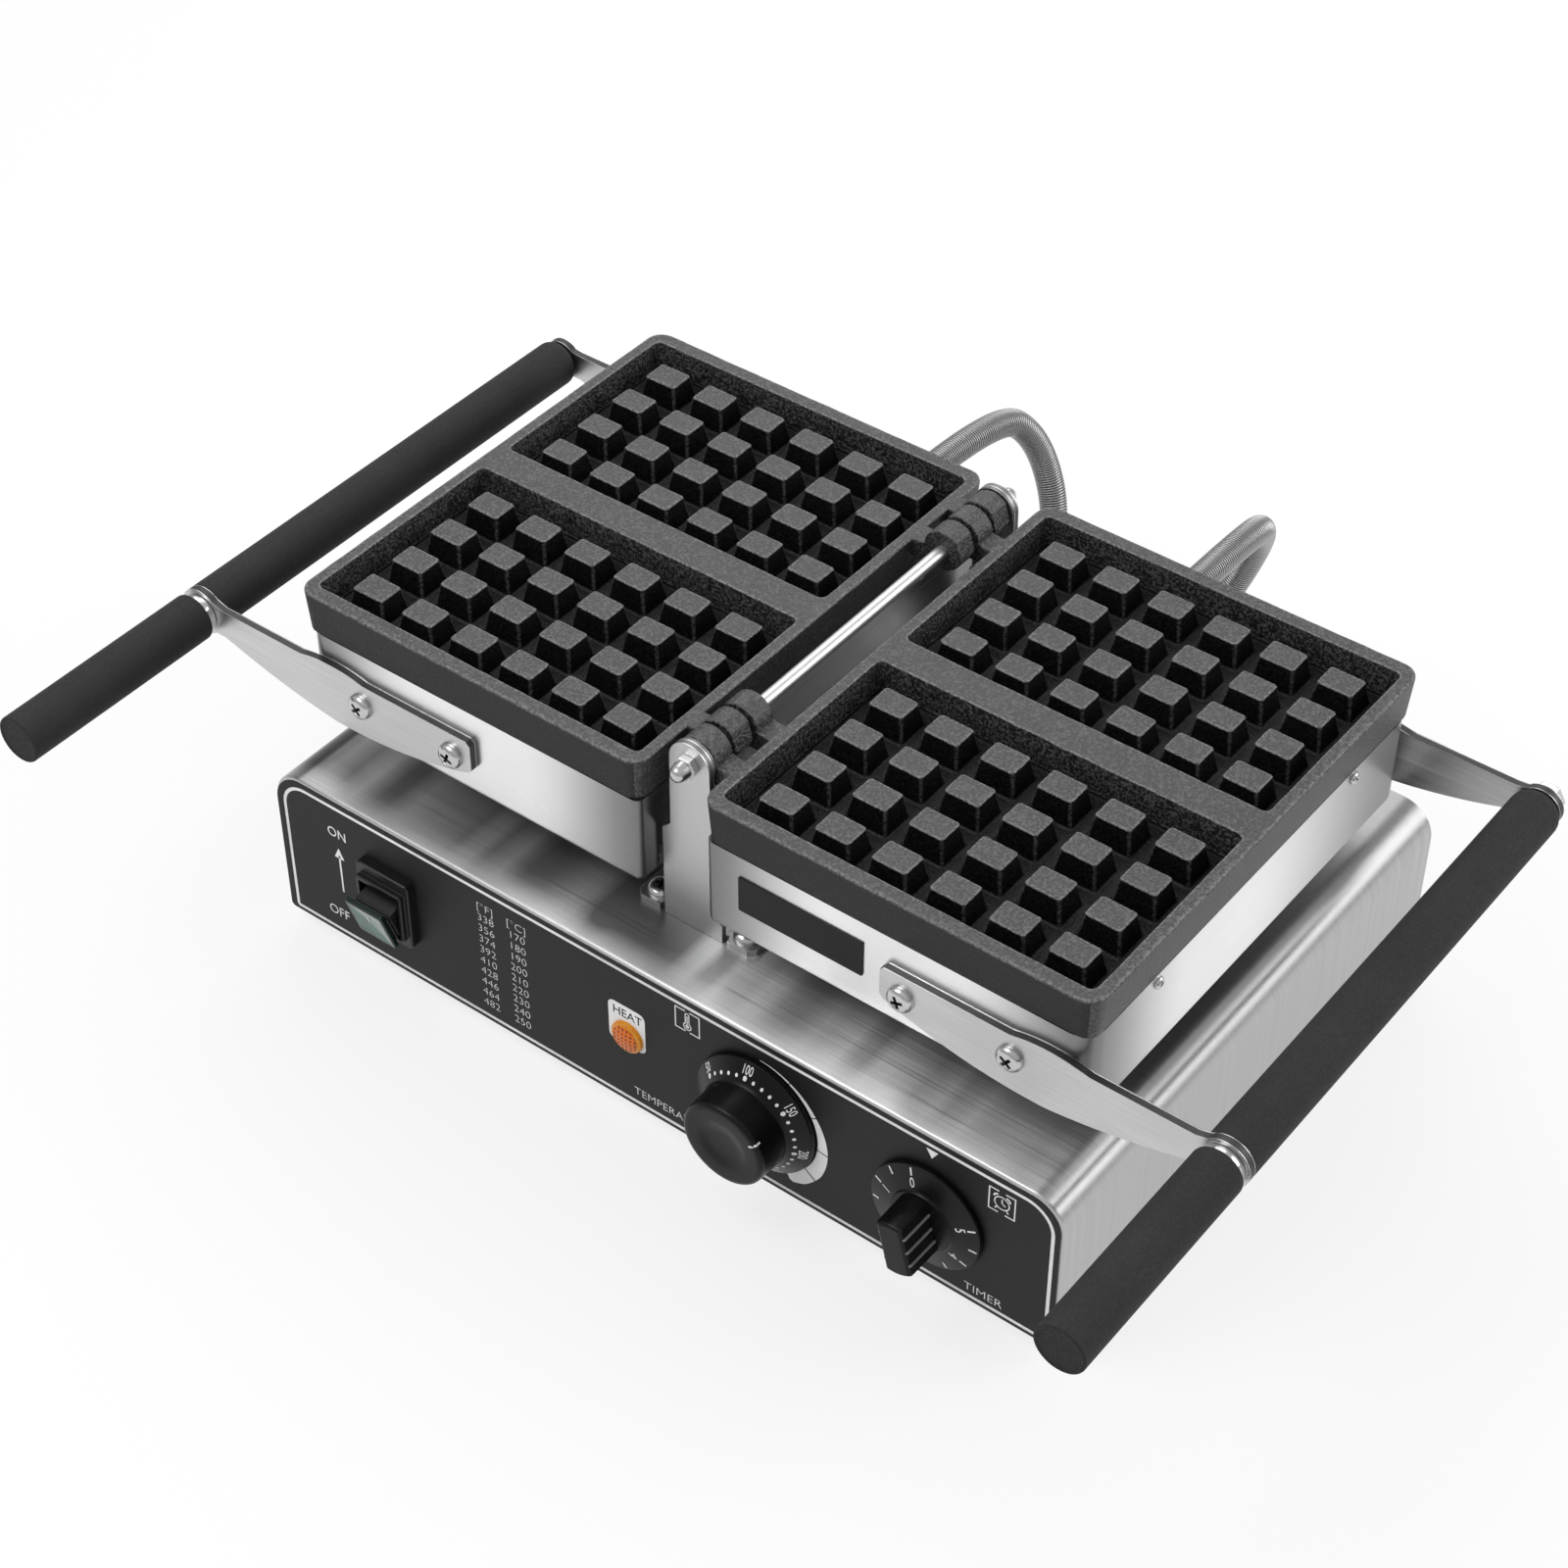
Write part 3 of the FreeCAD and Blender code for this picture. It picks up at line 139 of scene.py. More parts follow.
def arc_through(a, b, c, steps):
    """Points on the circle through three points, from the first to the last, without the first."""
    (ax, ay), (bx, by), (cx, cy) = a, b, c
    d = 2 * (ax * (by - cy) + bx * (cy - ay) + cx * (ay - by))
    sa, sb, sc = ax * ax + ay * ay, bx * bx + by * by, cx * cx + cy * cy
    ux = (sa * (by - cy) + sb * (cy - ay) + sc * (ay - by)) / d
    uy = (sa * (cx - bx) + sb * (ax - cx) + sc * (bx - ax)) / d
    radius = math.hypot(ax - ux, ay - uy)
    first = math.atan2(ay - uy, ax - ux)
    middle = (math.atan2(by - uy, bx - ux) - first) % math.tau
    last = (math.atan2(cy - uy, cx - ux) - first) % math.tau
    if middle > last:
        last -= math.tau
    turns = [first + last * i / steps for i in range(1, steps + 1)]
    return [(ux + radius * math.cos(t), uy + radius * math.sin(t)) for t in turns]


def round_rect(x_span, y_span, inset, radii, steps=4, parts=(1, 1)):
    """A rounded rectangle, anticlockwise from its high corner, with its straight sides cut into parts."""
    x0, x1 = x_span[0] + inset, x_span[1] - inset
    y0, y1 = y_span[0] + inset, y_span[1] - inset
    corners = []
    for number, radius in enumerate(radii):
        radius = max(radius, 0.05)
        cx = x1 - radius if number in (0, 3) else x0 + radius
        cy = y1 - radius if number in (0, 1) else y0 + radius
        corners.append(arc(cx, cy, radius, 90 * number, 90 * number + 90, steps))
    points = []
    for number, corner in enumerate(corners):
        points += corner
        a, b = Vector(corner[-1]), Vector(corners[(number + 1) % 4][0])
        count = parts[number % 2]
        points += [tuple(a.lerp(b, i / count)) for i in range(1, count)]
    return points


def at_height(points, z):
    return [(x, y, z) for x, y in points]


def at_depth(points, y):
    return [(x, y, z) for x, z in points]


def skin(bm, rings, caps=(True, True)):
    """Joins equal rings of points one after another and closes the ends."""
    made = [[bm.verts.new(point) for point in ring] for ring in rings]
    for low, high in zip(made, made[1:]):
        for i, vert in enumerate(low):
            j = (i + 1) % len(low)
            bm.faces.new((vert, low[j], high[j], high[i]))
    if caps[0]:
        bm.faces.new(made[0])
    if caps[1]:
        bm.faces.new(made[-1])
    return made


def ring_edges(bm, ring):
    return [bm.edges.get((vert, ring[(i + 1) % len(ring)])) for i, vert in enumerate(ring)]


def round_off(bm, edges, offset):
    """Rounds edges a little."""
    bmesh.ops.bevel(bm, geom=edges, offset=offset, segments=2, profile=0.5, affect="EDGES",
                    clamp_overlap=True)


def second_finish(rings):
    """Gives every face that touches these rings the second finish."""
    for ring in rings:
        for vert in ring:
            for face in vert.link_faces:
                face.material_index = 1


def second_finish_between(bm, low, high):
    """Gives the faces between two rings the second finish."""
    for pair in zip(low, high):
        for face in bm.edges.get(pair).link_faces:
            face.material_index = 1


def slab(bm, points, y0, y1, ease):
    """A flat plate with eased edges: an outline between two depths, its cut edge in the second finish."""
    front, back = skin(bm, [at_depth(points, y0), at_depth(points, y1)])
    second_finish_between(bm, front, back)
    round_off(bm, ring_edges(bm, front) + ring_edges(bm, back), ease)


def across(axis):
    """Two directions at right angles to an axis and to each other."""
    axis = Vector(axis).normalized()
    first = axis.cross(Vector((0, 0, 1)) if abs(axis.z) < 0.9 else Vector((1, 0, 0))).normalized()
    return axis, first, axis.cross(first)


def ring_about(centre, u, v, radius, steps):
    """Points on a circle about a centre, in the plane of two directions."""
    turns = [math.tau * i / steps for i in range(steps)]
    return [centre + u * (radius * math.cos(t)) + v * (radius * math.sin(t)) for t in turns]


def turned(bm, profile, place, axis, steps=48):
    """A turned piece: radii and lengths along the axis, closed at both ends."""
    axis, u, v = across(axis)
    place = Vector(place)
    return skin(bm, [ring_about(place + axis * along, u, v, radius, steps) for radius, along in profile])


def cross_reach(angle, length, width):
    """How far a cross-shaped recess reaches from its middle in one direction."""
    c, s = max(abs(math.cos(angle)), 1e-6), max(abs(math.sin(angle)), 1e-6)
    return max(min(length / c, width / s), min(width / c, length / s))


def pan_head(bm, place, axis, radius, height, spin):
    """A domed pan-head screw; its cross recess takes the second finish, a dark copy of the steel that paints
    shade there.
    """
    axis, u, v = across(axis)
    place = Vector(place)
    steps = 64
    dome = ((0.96, -0.02), (1.0, 0.04), (1.0, 0.3), (0.96, 0.52), (0.87, 0.72), (0.74, 0.87), (0.62, 0.95))
    turns = [math.tau * i / steps for i in range(steps)]

    def ring(reach, along):
        return [place + axis * along + u * (r * math.cos(t + spin)) + v * (r * math.sin(t + spin))
                for t, r in zip(turns, reach)]

    rings = [ring([radius * share] * steps, height * rise) for share, rise in dome]
    recess = [cross_reach(t, radius * 0.5, radius * 0.12) for t in turns]
    rings.append(ring([r * 1.06 for r in recess], height * 0.99))
    rings.append(ring(recess, height * 0.93))
    rings.append(ring([r * 0.66 for r in recess], height * 0.3))
    second_finish(skin(bm, rings)[-1:])


def hexagon(bm, place, axis, corner, length):
    """A hexagonal nut blank with eased edges."""
    axis, u, v = across(axis)
    place = Vector(place)
    low, high = skin(bm, [ring_about(place + axis * along, u, v, corner, 6) for along in (0, length)])
    uprights = [bm.edges.get(pair) for pair in zip(low, high)]
    round_off(bm, ring_edges(bm, low) + ring_edges(bm, high) + uprights, 0.35)


def curve_mesh(curve):
    """The points and faces that a curve comes to; the curve itself is removed."""
    holder = bpy.data.objects.new("curve", curve)
    mesh = bpy.data.meshes.new_from_object(holder)
    points = [vert.co.copy() for vert in mesh.vertices]
    faces = [list(polygon.vertices) for polygon in mesh.polygons]
    bpy.data.meshes.remove(mesh)
    bpy.data.objects.remove(holder)
    bpy.data.curves.remove(curve)
    return points, faces


def to_left(bm, by_turn):
    """Right-hand pieces become left-hand ones: turned about the middle of the hinge, or mirrored."""
    if by_turn:
        middle = Vector((0, PLATE_MID_Y, 0))
        matrix = Matrix.Translation(middle) @ Matrix.Rotation(math.pi, 4, "Z") @ Matrix.Translation(-middle)
    else:
        matrix = Matrix.Diagonal((-1, 1, 1, 1))
    bmesh.ops.transform(bm, matrix=matrix, verts=bm.verts)


def piece(name, bm, material, slot, sharp, weighted=True):
    """Makes the mesh an object of the scene, in metres, with smooth faces between sharp edges."""
    bmesh.ops.recalc_face_normals(bm, faces=bm.faces)
    mesh = bpy.data.meshes.new(name)
    bm.to_mesh(mesh)
    bm.free()
    mesh.transform(Matrix.Scale(MM, 4) @ Matrix.Translation((0, PLAN_Y, 0)))
    mesh.polygons.foreach_set("use_smooth", [True] * len(mesh.polygons))
    mesh.set_sharp_from_angle(angle=math.radians(sharp))
    for finish in material if isinstance(material, tuple) else (material,):
        mesh.materials.append(finish)
    obj = bpy.data.objects.new(name, mesh)
    scene.collection.objects.link(obj)
    if weighted:
        modifier = obj.modifiers.new("even_shading", "WEIGHTED_NORMAL")
        modifier.keep_sharp = True
    return obj


def riding(name, bm, body, material, slot, nodes, sharp):
    """A piece that rides on a body and stands in for CAD nodes, if any."""
    obj = piece(name, bm, material, slot, sharp)
    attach(obj, body)
    if nodes:
        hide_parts(*nodes)


# Materials


def new_material(name):
    material = bpy.data.materials.new(name)
    material.use_nodes = True
    tree = material.node_tree
    return material, tree, tree.nodes["Principled BSDF"]


def grain(tree, scale, detail=4.0):
    """Noise in the piece's own coordinates, with its scale per metre along each axis."""
    place = tree.nodes.new("ShaderNodeTexCoord")
    stretch = tree.nodes.new("ShaderNodeMapping")
    stretch.inputs["Scale"].default_value = scale
    pattern = tree.nodes.new("ShaderNodeTexNoise")
    pattern.inputs["Scale"].default_value = 1.0
    pattern.inputs["Detail"].default_value = detail
    tree.links.new(place.outputs["Object"], stretch.inputs["Vector"])
    tree.links.new(stretch.outputs["Vector"], pattern.inputs["Vector"])
    return pattern.outputs["Fac"]


def ranged(tree, value, low, high, start=0.3, end=0.7):
    remap = tree.nodes.new("ShaderNodeMapRange")
    remap.inputs["From Min"].default_value = start
    remap.inputs["From Max"].default_value = end
    remap.inputs["To Min"].default_value = low
    remap.inputs["To Max"].default_value = high
    tree.links.new(value, remap.inputs["Value"])
    return remap.outputs["Result"]


def combined(tree, operation, first, second):
    """One number made of two, the second a socket or a plain number."""
    node = tree.nodes.new("ShaderNodeMath")
    node.operation = operation
    tree.links.new(first, node.inputs[0])
    if isinstance(second, float):
        node.inputs[1].default_value = second
    else:
        tree.links.new(second, node.inputs[1])
    return node.outputs[0]


def between(tree, factor, first, second):
    """A colour between two, each a tuple or a socket."""
    mix = tree.nodes.new("ShaderNodeMix")
    mix.data_type = "RGBA"
    tree.links.new(factor, mix.inputs[0])
    for socket, colour in ((mix.inputs[6], first), (mix.inputs[7], second)):
        if isinstance(colour, tuple):
            socket.default_value = (*colour, 1.0)
        else:
            tree.links.new(colour, socket)
    return mix.outputs[2]


def bumped(tree, shader, height, strength, depth):
    bump = tree.nodes.new("ShaderNodeBump")
    bump.inputs["Strength"].default_value = strength
    bump.inputs["Distance"].default_value = depth
    tree.links.new(height, bump.inputs["Height"])
    tree.links.new(bump.outputs["Normal"], shader.inputs["Normal"])


def brushed(name, colour, rough, scale, axis="Y", stretch=0.0, lines=0.03, patchy=0.12, tone=0.06,
            patch=(11, 11, 11)):
    """Brushed steel: streaks, broad patches, a highlight stretched across the brushing, and painted shade."""
    material, tree, shader = new_material(name)
    streaks = grain(tree, scale, 6.0)
    patches = grain(tree, patch, 2.0)
    tint = between(tree, ranged(tree, streaks, 0, 1), tuple(c * (1 - tone) for c in colour), colour)
    dull = tuple(c * (1 - 2.5 * patchy) for c in colour)
    mixed = between(tree, ranged(tree, patches, 0, 0.5, 0.35, 0.65), tint, dull)
    shade = tree.nodes.new("ShaderNodeAttribute")
    shade.attribute_name = "shade"
    in_shade = tuple(c * 0.22 for c in colour)
    tree.links.new(between(tree, shade.outputs["Fac"], mixed, in_shade), shader.inputs["Base Color"])
    tree.links.new(ranged(tree, streaks, rough * 0.9, rough * 1.12), shader.inputs["Roughness"])
    shader.inputs["Metallic"].default_value = 1.0
    if stretch:
        tangent = tree.nodes.new("ShaderNodeTangent")
        tangent.direction_type = "RADIAL"
        tangent.axis = axis
        tree.links.new(tangent.outputs["Tangent"], shader.inputs["Tangent"])
        shader.inputs["Anisotropic"].default_value = stretch
        shader.inputs["Anisotropic Rotation"].default_value = 0.25
    bumped(tree, shader, streaks, lines, 0.0002)
    return material


def cast_iron(name, tone, speck, rough, gloss):
    """Coated cast iron: black and softly shining, with a grain of pale specks and edges made paler, partly by
    wear and partly as painted highlight.
    """
    material, tree, shader = new_material(name)
    fine = grain(tree, (850, 850, 850), 3.0)
    broad = grain(tree, (26, 26, 26), 3.0)
    ground = between(tree, ranged(tree, broad, 0, 1), (tone * 0.6,) * 3, (tone,) * 3)
    specks = between(tree, ranged(tree, fine, 0, 1, 0.44, 0.74), ground, (speck,) * 3)
    # Paler speckled edges from the vertex attribute: partly wear, partly painted highlight.
    wear = tree.nodes.new("ShaderNodeAttribute")
    wear.attribute_name = "wear"
    worn_and_lit_edges = combined(tree, "MULTIPLY", wear.outputs["Fac"], ranged(tree, fine, 0.2, 1.0, 0.38, 0.62))
    tree.links.new(between(tree, worn_and_lit_edges, specks, (0.2, 0.2, 0.2)), shader.inputs["Base Color"])
    tree.links.new(ranged(tree, fine, rough - 0.1, rough + 0.12), shader.inputs["Roughness"])
    shader.inputs["Specular IOR Level"].default_value = gloss
    bumped(tree, shader, fine, 0.9, 0.0007)
    return material


def moulded(name, colour, rough, coarse, scale=1600, specular=0.5):
    """Moulded plastic, film or rubber with a fine grain."""
    material, tree, shader = new_material(name)
    fine = grain(tree, (scale, scale, scale), 3.0)
    broad = grain(tree, (30, 30, 30), 3.0)
    light = tuple(min(1.0, c * 1.18) for c in colour)
    dark = tuple(c * 0.86 for c in colour)
    tone = between(tree, ranged(tree, broad, 0, 1), dark, light)
    tree.links.new(between(tree, ranged(tree, fine, 0, 0.3), tone, dark), shader.inputs["Base Color"])
    tree.links.new(ranged(tree, fine, rough * 0.9, min(1.0, rough * 1.15)), shader.inputs["Roughness"])
    shader.inputs["Specular IOR Level"].default_value = specular
    bumped(tree, shader, fine, coarse, 0.0003)
    return material


def clear_plastic(name, colour, deep, rough, see_through, cells):
    """Tinted clear plastic; where cells is set, a square relief with dark pits."""
    material, tree, shader = new_material(name)
    cloud = ranged(tree, grain(tree, (170, 170, 170), 2.0), 0, 1)
    shader.inputs["Roughness"].default_value = rough
    shader.inputs["Transmission Weight"].default_value = see_through
    shader.inputs["IOR"].default_value = 1.49
    shader.inputs["Specular IOR Level"].default_value = 0.3
    if cells:
        place = tree.nodes.new("ShaderNodeTexCoord")
        heights = []
        for direction in ("X", "Z"):
            wave = tree.nodes.new("ShaderNodeTexWave")
            wave.bands_direction = direction
            wave.inputs["Scale"].default_value = cells
            tree.links.new(place.outputs["Object"], wave.inputs["Vector"])
            heights.append(wave.outputs["Fac"])
        cloud = combined(tree, "MULTIPLY", *heights)
        bumped(tree, shader, cloud, 0.6, 0.0006)
    tree.links.new(between(tree, cloud, colour, deep), shader.inputs["Base Color"])
    return material


casing_steel = brushed("casing_steel", (0.68, 0.68, 0.685), 0.4, (12, 1100, 12), "Y", 0.82, 0.03, 0.06, 0.24,
                       (60, 8, 8))
housing_steel = brushed("housing_steel", (0.93, 0.93, 0.932), 0.3, (22, 22, 2600), "Z", 0.6, 0.02, 0.04)
arm_steel = brushed("arm_steel", (0.7, 0.7, 0.705), 0.36, (24, 1000, 1000), "Y", 0.4, 0.03, 0.12, 0.2)
# A dark copy of the steel for the arms' cut edges: painted shade and painted dark reflection.
cut_edge = brushed("cut_edge", (0.075, 0.075, 0.076), 0.5, (900, 60, 900))
ear_edge = brushed("ear_edge", (0.24, 0.24, 0.242), 0.5, (900, 60, 900))
satin_steel = brushed("satin_steel", (0.6, 0.6, 0.605), 0.4, (900, 900, 40), lines=0.015, patchy=0.03)
bright_steel = brushed("bright_steel", (0.6, 0.6, 0.605), 0.22, (500, 500, 500), lines=0.01, patchy=0.05)
# A dark copy of the steel that paints shade into the screws' cross recesses.
recess_steel = brushed("recess_steel", (0.14, 0.14, 0.14), 0.4, (900, 900, 900))
conduit_steel = brushed("conduit_steel", (0.45, 0.45, 0.454), 0.32, (400, 400, 400), lines=0.01)
# A dark copy of the conduit's steel that paints shade into its grooves.
groove_steel = brushed("groove_steel", (0.12, 0.12, 0.12), 0.45, (400, 400, 400), lines=0.01)
clamp_steel = brushed("clamp_steel", (0.5, 0.5, 0.5), 0.4, (60, 900, 900))
heater_sheath = brushed("heater_sheath", (0.3, 0.3, 0.31), 0.45, (300, 300, 300))
grid_iron = cast_iron("grid_iron", 0.006, 0.11, 0.46, 0.8)
# The next two are darker copies of grid_iron that paint shade: the first on the pans' floors and the
# casting's ends, the second on the cubes' sides.
end_iron = cast_iron("end_iron", 0.003, 0.02, 0.5, 0.38)
deep_iron = cast_iron("deep_iron", 0.0015, 0.008, 0.55, 0.12)
grip_plastic = moulded("grip_plastic", (0.021, 0.021, 0.0212), 0.72, 0.35, 800, 0.26)
knob_plastic = moulded("knob_plastic", (0.003, 0.003, 0.0031), 0.3, 0.2, 1000, 0.2)
# A paler plastic that paints highlights on the timer wing's ridges.
ridge_plastic = moulded("ridge_plastic", (0.2, 0.2, 0.2), 0.4, 0.1)
black_plastic = moulded("black_plastic", (0.006, 0.006, 0.0061), 0.36, 0.06, 1600, 0.4)
panel_film = moulded("panel_film", (0.008, 0.008, 0.0082), 0.5, 0.05, 2400, 0.23)
white_print = moulded("white_print", (0.78, 0.78, 0.78), 0.55, 0.02)
dark_print = moulded("dark_print", (0.006, 0.006, 0.006), 0.6, 0.02, 1600, 0.1)
terminal_plastic = moulded("terminal_plastic", (0.6, 0.58, 0.53), 0.5, 0.1)
insulation_wool = moulded("insulation_wool", (0.62, 0.58, 0.5), 0.95, 0.8, 500)
foot_rubber = moulded("foot_rubber", (0.02, 0.02, 0.02), 0.7, 0.25, 900)
green_plastic = clear_plastic("green_plastic", (0.045, 0.145, 0.11), (0.005, 0.06, 0.042), 0.12, 0.1, 0)
green_edge = clear_plastic("green_edge", (0.004, 0.02, 0.016), (0.003, 0.012, 0.01), 0.16, 0.1, 0)
amber_plastic = clear_plastic("amber_plastic", (0.8, 0.17, 0.003), (0.07, 0.008, 0.001), 0.16, 0.1, 150)
amber_rim = clear_plastic("amber_rim", (0.95, 0.4, 0.02), (0.8, 0.26, 0.01), 0.1, 0.3, 0)


# Grid plates


def casting(bm):
    """The casting: drafted outside, a rim with two pans, and rows of tapered cubes.

    The cubes' sides take the second finish and the pans' floors and the casting's ends the third: darker
    copies of the iron that paint shade there.
    """
    # Paler speckled edges, partly wear and partly painted highlight, on the rims, the cubes' crowns and the
    # cubes' upright corners.
    wear = bm.verts.layers.float.new("wear")

    def rub(rings, amounts):
        for ring, amount in zip(rings, amounts):
            for vert in ring:
                vert[wear] = amount

    edge = 1.1
    draft_at_edge = CAST_DRAFT * edge / (CAST_Z[1] - CAST_Z[0])
    levels = [(CAST_DRAFT + 0.6, CAST_Z[0]), (CAST_DRAFT, CAST_Z[0] + 0.6)]
    levels += [(draft_at_edge + edge * (1 - math.cos(a)), CAST_Z[1] - edge + edge * math.sin(a))
               for a in QUARTER]
    levels.append((draft_at_edge + edge + 0.7, CAST_Z[1]))
    outer = skin(bm, [at_height(round_rect(CAST_X, CAST_Y, inset, [8.0 - inset] * 4, 5, (26, 34)), z)
                      for inset, z in levels], (True, False))
    rub(outer, (0, 0, 0, 0.4, 0.8, 0.3, 0))
    top_edges = ring_edges(bm, outer[-1])
    mouth = 0.6
    fillet = 2.0
    wall_end = PAN_DRAFT * (CAST_Z[1] - PAN_FLOOR - fillet) / (CAST_Z[1] - PAN_FLOOR)
    for span, rows in zip(PANS_Y, CUBE_ROWS):
        levels = [(-mouth - 0.6, CAST_Z[1])]
        levels += [(-mouth + mouth * math.sin(a), CAST_Z[1] - mouth * (1 - math.cos(a))) for a in QUARTER]
        levels += [(wall_end + fillet * (1 - math.cos(a)), PAN_FLOOR + fillet - fillet * math.sin(a))
                   for a in QUARTER]
        pan = skin(bm, [at_height(round_rect(PAN_X, span, inset, [3.0 - inset] * 4, 5, (26, 16)), z)
                        for inset, z in levels], (False, False))
        rub(pan, (0, 0.5, 1.0, 0.6, 0, 0, 0, 0, 0))
        top_edges += ring_edges(bm, pan[0])
        floor_edges = ring_edges(bm, pan[-1])
        for y in rows:
            for x in CUBE_COLUMNS:
                floor_edges += ring_edges(bm, cube(bm, x, y, rub))
        bmesh.ops.triangle_fill(bm, edges=floor_edges, use_beauty=True)
    bmesh.ops.triangle_fill(bm, edges=top_edges, use_beauty=True)
    # Faces in shade get the darker copies of the iron: painted shade.
    wall = 1.3
    for face in bm.faces:
        x, y, z = face.calc_center_median()
        across_pan = PAN_X[0] + wall < x < PAN_X[1] - wall
        amid = across_pan and any(low + wall < y < high - wall for low, high in PANS_Y)
        at_end = (y < CAST_Y[0] + 3 or y > CAST_Y[1] - 3) and z < CAST_Z[1] - edge
        if at_end or amid and z < PAN_FLOOR + 0.5:
            face.material_index = 2
        elif amid and z < CUBE_TOP - 0.5:
            face.material_index = 1
    for vert in bm.verts:
        vert.co += noise.noise_vector(vert.co * 0.1) * 0.16


def cube(bm, x, y, rub):
    """One tapered cube with a filleted foot and rounded edges; returns its foot's ring."""
    foot = 1.3
    crown = 0.6
    levels = [(foot * (1 - math.sin(a)), PAN_FLOOR + foot * (1 - math.cos(a)), 2.6 - 1.2 * a / QUARTER[-1])
              for a in QUARTER]
    levels += [(-crown * (1 - math.cos(a)), CUBE_TOP - crown + crown * math.sin(a), 1.5 - 0.4 * math.sin(a))
               for a in QUARTER]
    levels.append((-crown - 0.7, CUBE_TOP, 0.6))
    rings = []
    for grow, z, radius in levels:
        lean = CUBE_DRAFT * (CUBE_TOP - z) / (CUBE_TOP - PAN_FLOOR)
        hx, hy = CUBE_HALF[0] + lean + grow, CUBE_HALF[1] + lean + grow
        rings.append(at_height(round_rect((x - hx, x + hx), (y - hy, y + hy), 0, [radius] * 4, 3), z))
    made = skin(bm, rings, (False, True))
    rub(made, (0, 0, 0, 0, 0, 0.5, 0.9, 0.4, 0))
    for ring in made[3:6]:
        rub([ring[1::4], ring[2::4]], (0.3, 0.3))
    return made[0]


def knuckles(bm):
    """The right-hand plate's three knuckles, each with a flat far side and a tongue to the casting."""
    edge = ((0.0, 0.7), (0.2, 0.2), (0.7, 0.0))
    for y0, y1 in ((-109.5, -98.5), (-83.5, -72.5), (68.2, 79.2)):
        rings = []
        for y, inset in [(y0 + d, i) for d, i in edge] + [(y1 - d, i) for d, i in edge[::-1]]:
            radius = KNUCKLE_RADIUS - inset
            ring = arc(0, HINGE_Z, radius, 0, 138, 18) + arc(0, HINGE_Z, radius, 190, 270, 10)
            ring += [(16.6, HINGE_Z - radius), (16.6, CAST_Z[1] - inset), (11.5, CAST_Z[1] - inset)]
            rings.append(at_depth(ring, y))
        skin(bm, rings)
    for vert in bm.verts:
        vert.co += noise.noise_vector(vert.co * 0.16) * 0.14


def housing(bm):
    """The steel housing, open to the casting, darkened by painted shade near its bends; its bottom has the
    second finish.
    """
    bend = 3.0
    side_fade, front_fade, back_fade = 62.0, 72.0, 130.0
    bends = [math.radians(a) for a in (0, 18, 36, 54, 72, 90)]

    def ring(inset, z):
        radii = [10.0 - inset, 3.4 - inset, 3.4 - inset, 10.0 - inset]
        return at_height(round_rect(HOUSING_X, HOUSING_Y, inset, radii, 8, (18, 24)), z)

    rings = [ring(bend, HOUSING_Z[0] + HOUSING_SHEET), ring(HOUSING_SHEET, HOUSING_Z[0] + bend)]
    rings += [ring(HOUSING_SHEET, HOUSING_Z[1]), ring(0, HOUSING_Z[1])]
    rings += [ring(bend * (1 - math.cos(a)), HOUSING_Z[0] + bend - bend * math.sin(a)) for a in bends]
    skin(bm, rings)
    # Painted shade: the steel's colour darkens towards the corner bends and the ends, standing in for
    # reflections that fall off there.
    shade = bm.verts.layers.float.new("shade")
    for vert in bm.verts:
        x, y, z = vert.co
        along_x = min(x - HOUSING_X[0], HOUSING_X[1] - x) / side_fade
        along_y = min((y - HOUSING_Y[0]) / front_fade, (HOUSING_Y[1] - y) / back_fade)
        near = 1 - min(1.0, max(along_x, along_y))
        vert[shade] = near * near * (3 - 2 * near) if z >= HOUSING_Z[0] + 0.1 else 0.0
    for face in bm.faces:
        if face.calc_center_median().z < HOUSING_Z[0] + 0.1:
            face.material_index = 1


def arm(bm, y0, eye):
    """A flat arm: square inner end, deep belly, round eye at the handle."""
    rise = eye * math.sqrt(0.5)
    neck = HANDLE_X - eye * 1.2
    outline = [(106.0, 146.2), (163.6, 146.2)]
    outline += arc_through((163.6, 146.2), (181.6, 148.6), (199.6, 146.2), 12)
    outline += [(neck, 146.2), (HANDLE_X - rise, HANDLE_Z + rise)]
    outline += arc_through(outline[-1], (HANDLE_X + eye, HANDLE_Z), (HANDLE_X - rise, HANDLE_Z - rise), 28)
    outline.append((neck, HANDLE_Z - rise))
    outline += arc_through(outline[-1], (219.0, 124.8), (181.0, 118.0), 12)
    outline += arc_through(outline[-1], (143.0, 120.4), (106.0, 129.5), 12)
    outline += [(104.0, 131.5), (104.0, 144.2)]
    slab(bm, outline, y0, y0 + ARM_SHEET, 0.25)


def front_arm(bm):
    arm(bm, HOUSING_Y[0] - ARM_SHEET, 11.0)


def rear_arm(bm):
    arm(bm, HOUSING_Y[1], 9.5)


def arm_screws(bm):
    """Each arm's two screws, with their nuts inside the housing."""
    for x, spin in ((114.5, 0.35), (165.0, 0.9)):
        pan_head(bm, (x, HOUSING_Y[0] - ARM_SHEET, ARM_SCREW_Z), (0, -1, 0), *M6_HEAD, spin)
        pan_head(bm, (x, HOUSING_Y[1] + ARM_SHEET, ARM_SCREW_Z), (0, 1, 0), *M6_HEAD, spin + 0.4)
        hexagon(bm, (x, HOUSING_Y[0] + HOUSING_SHEET, ARM_SCREW_Z), (0, 1, 0), *M6_NUT)
        hexagon(bm, (x, HOUSING_Y[1] - HOUSING_SHEET, ARM_SCREW_Z), (0, -1, 0), *M6_NUT)


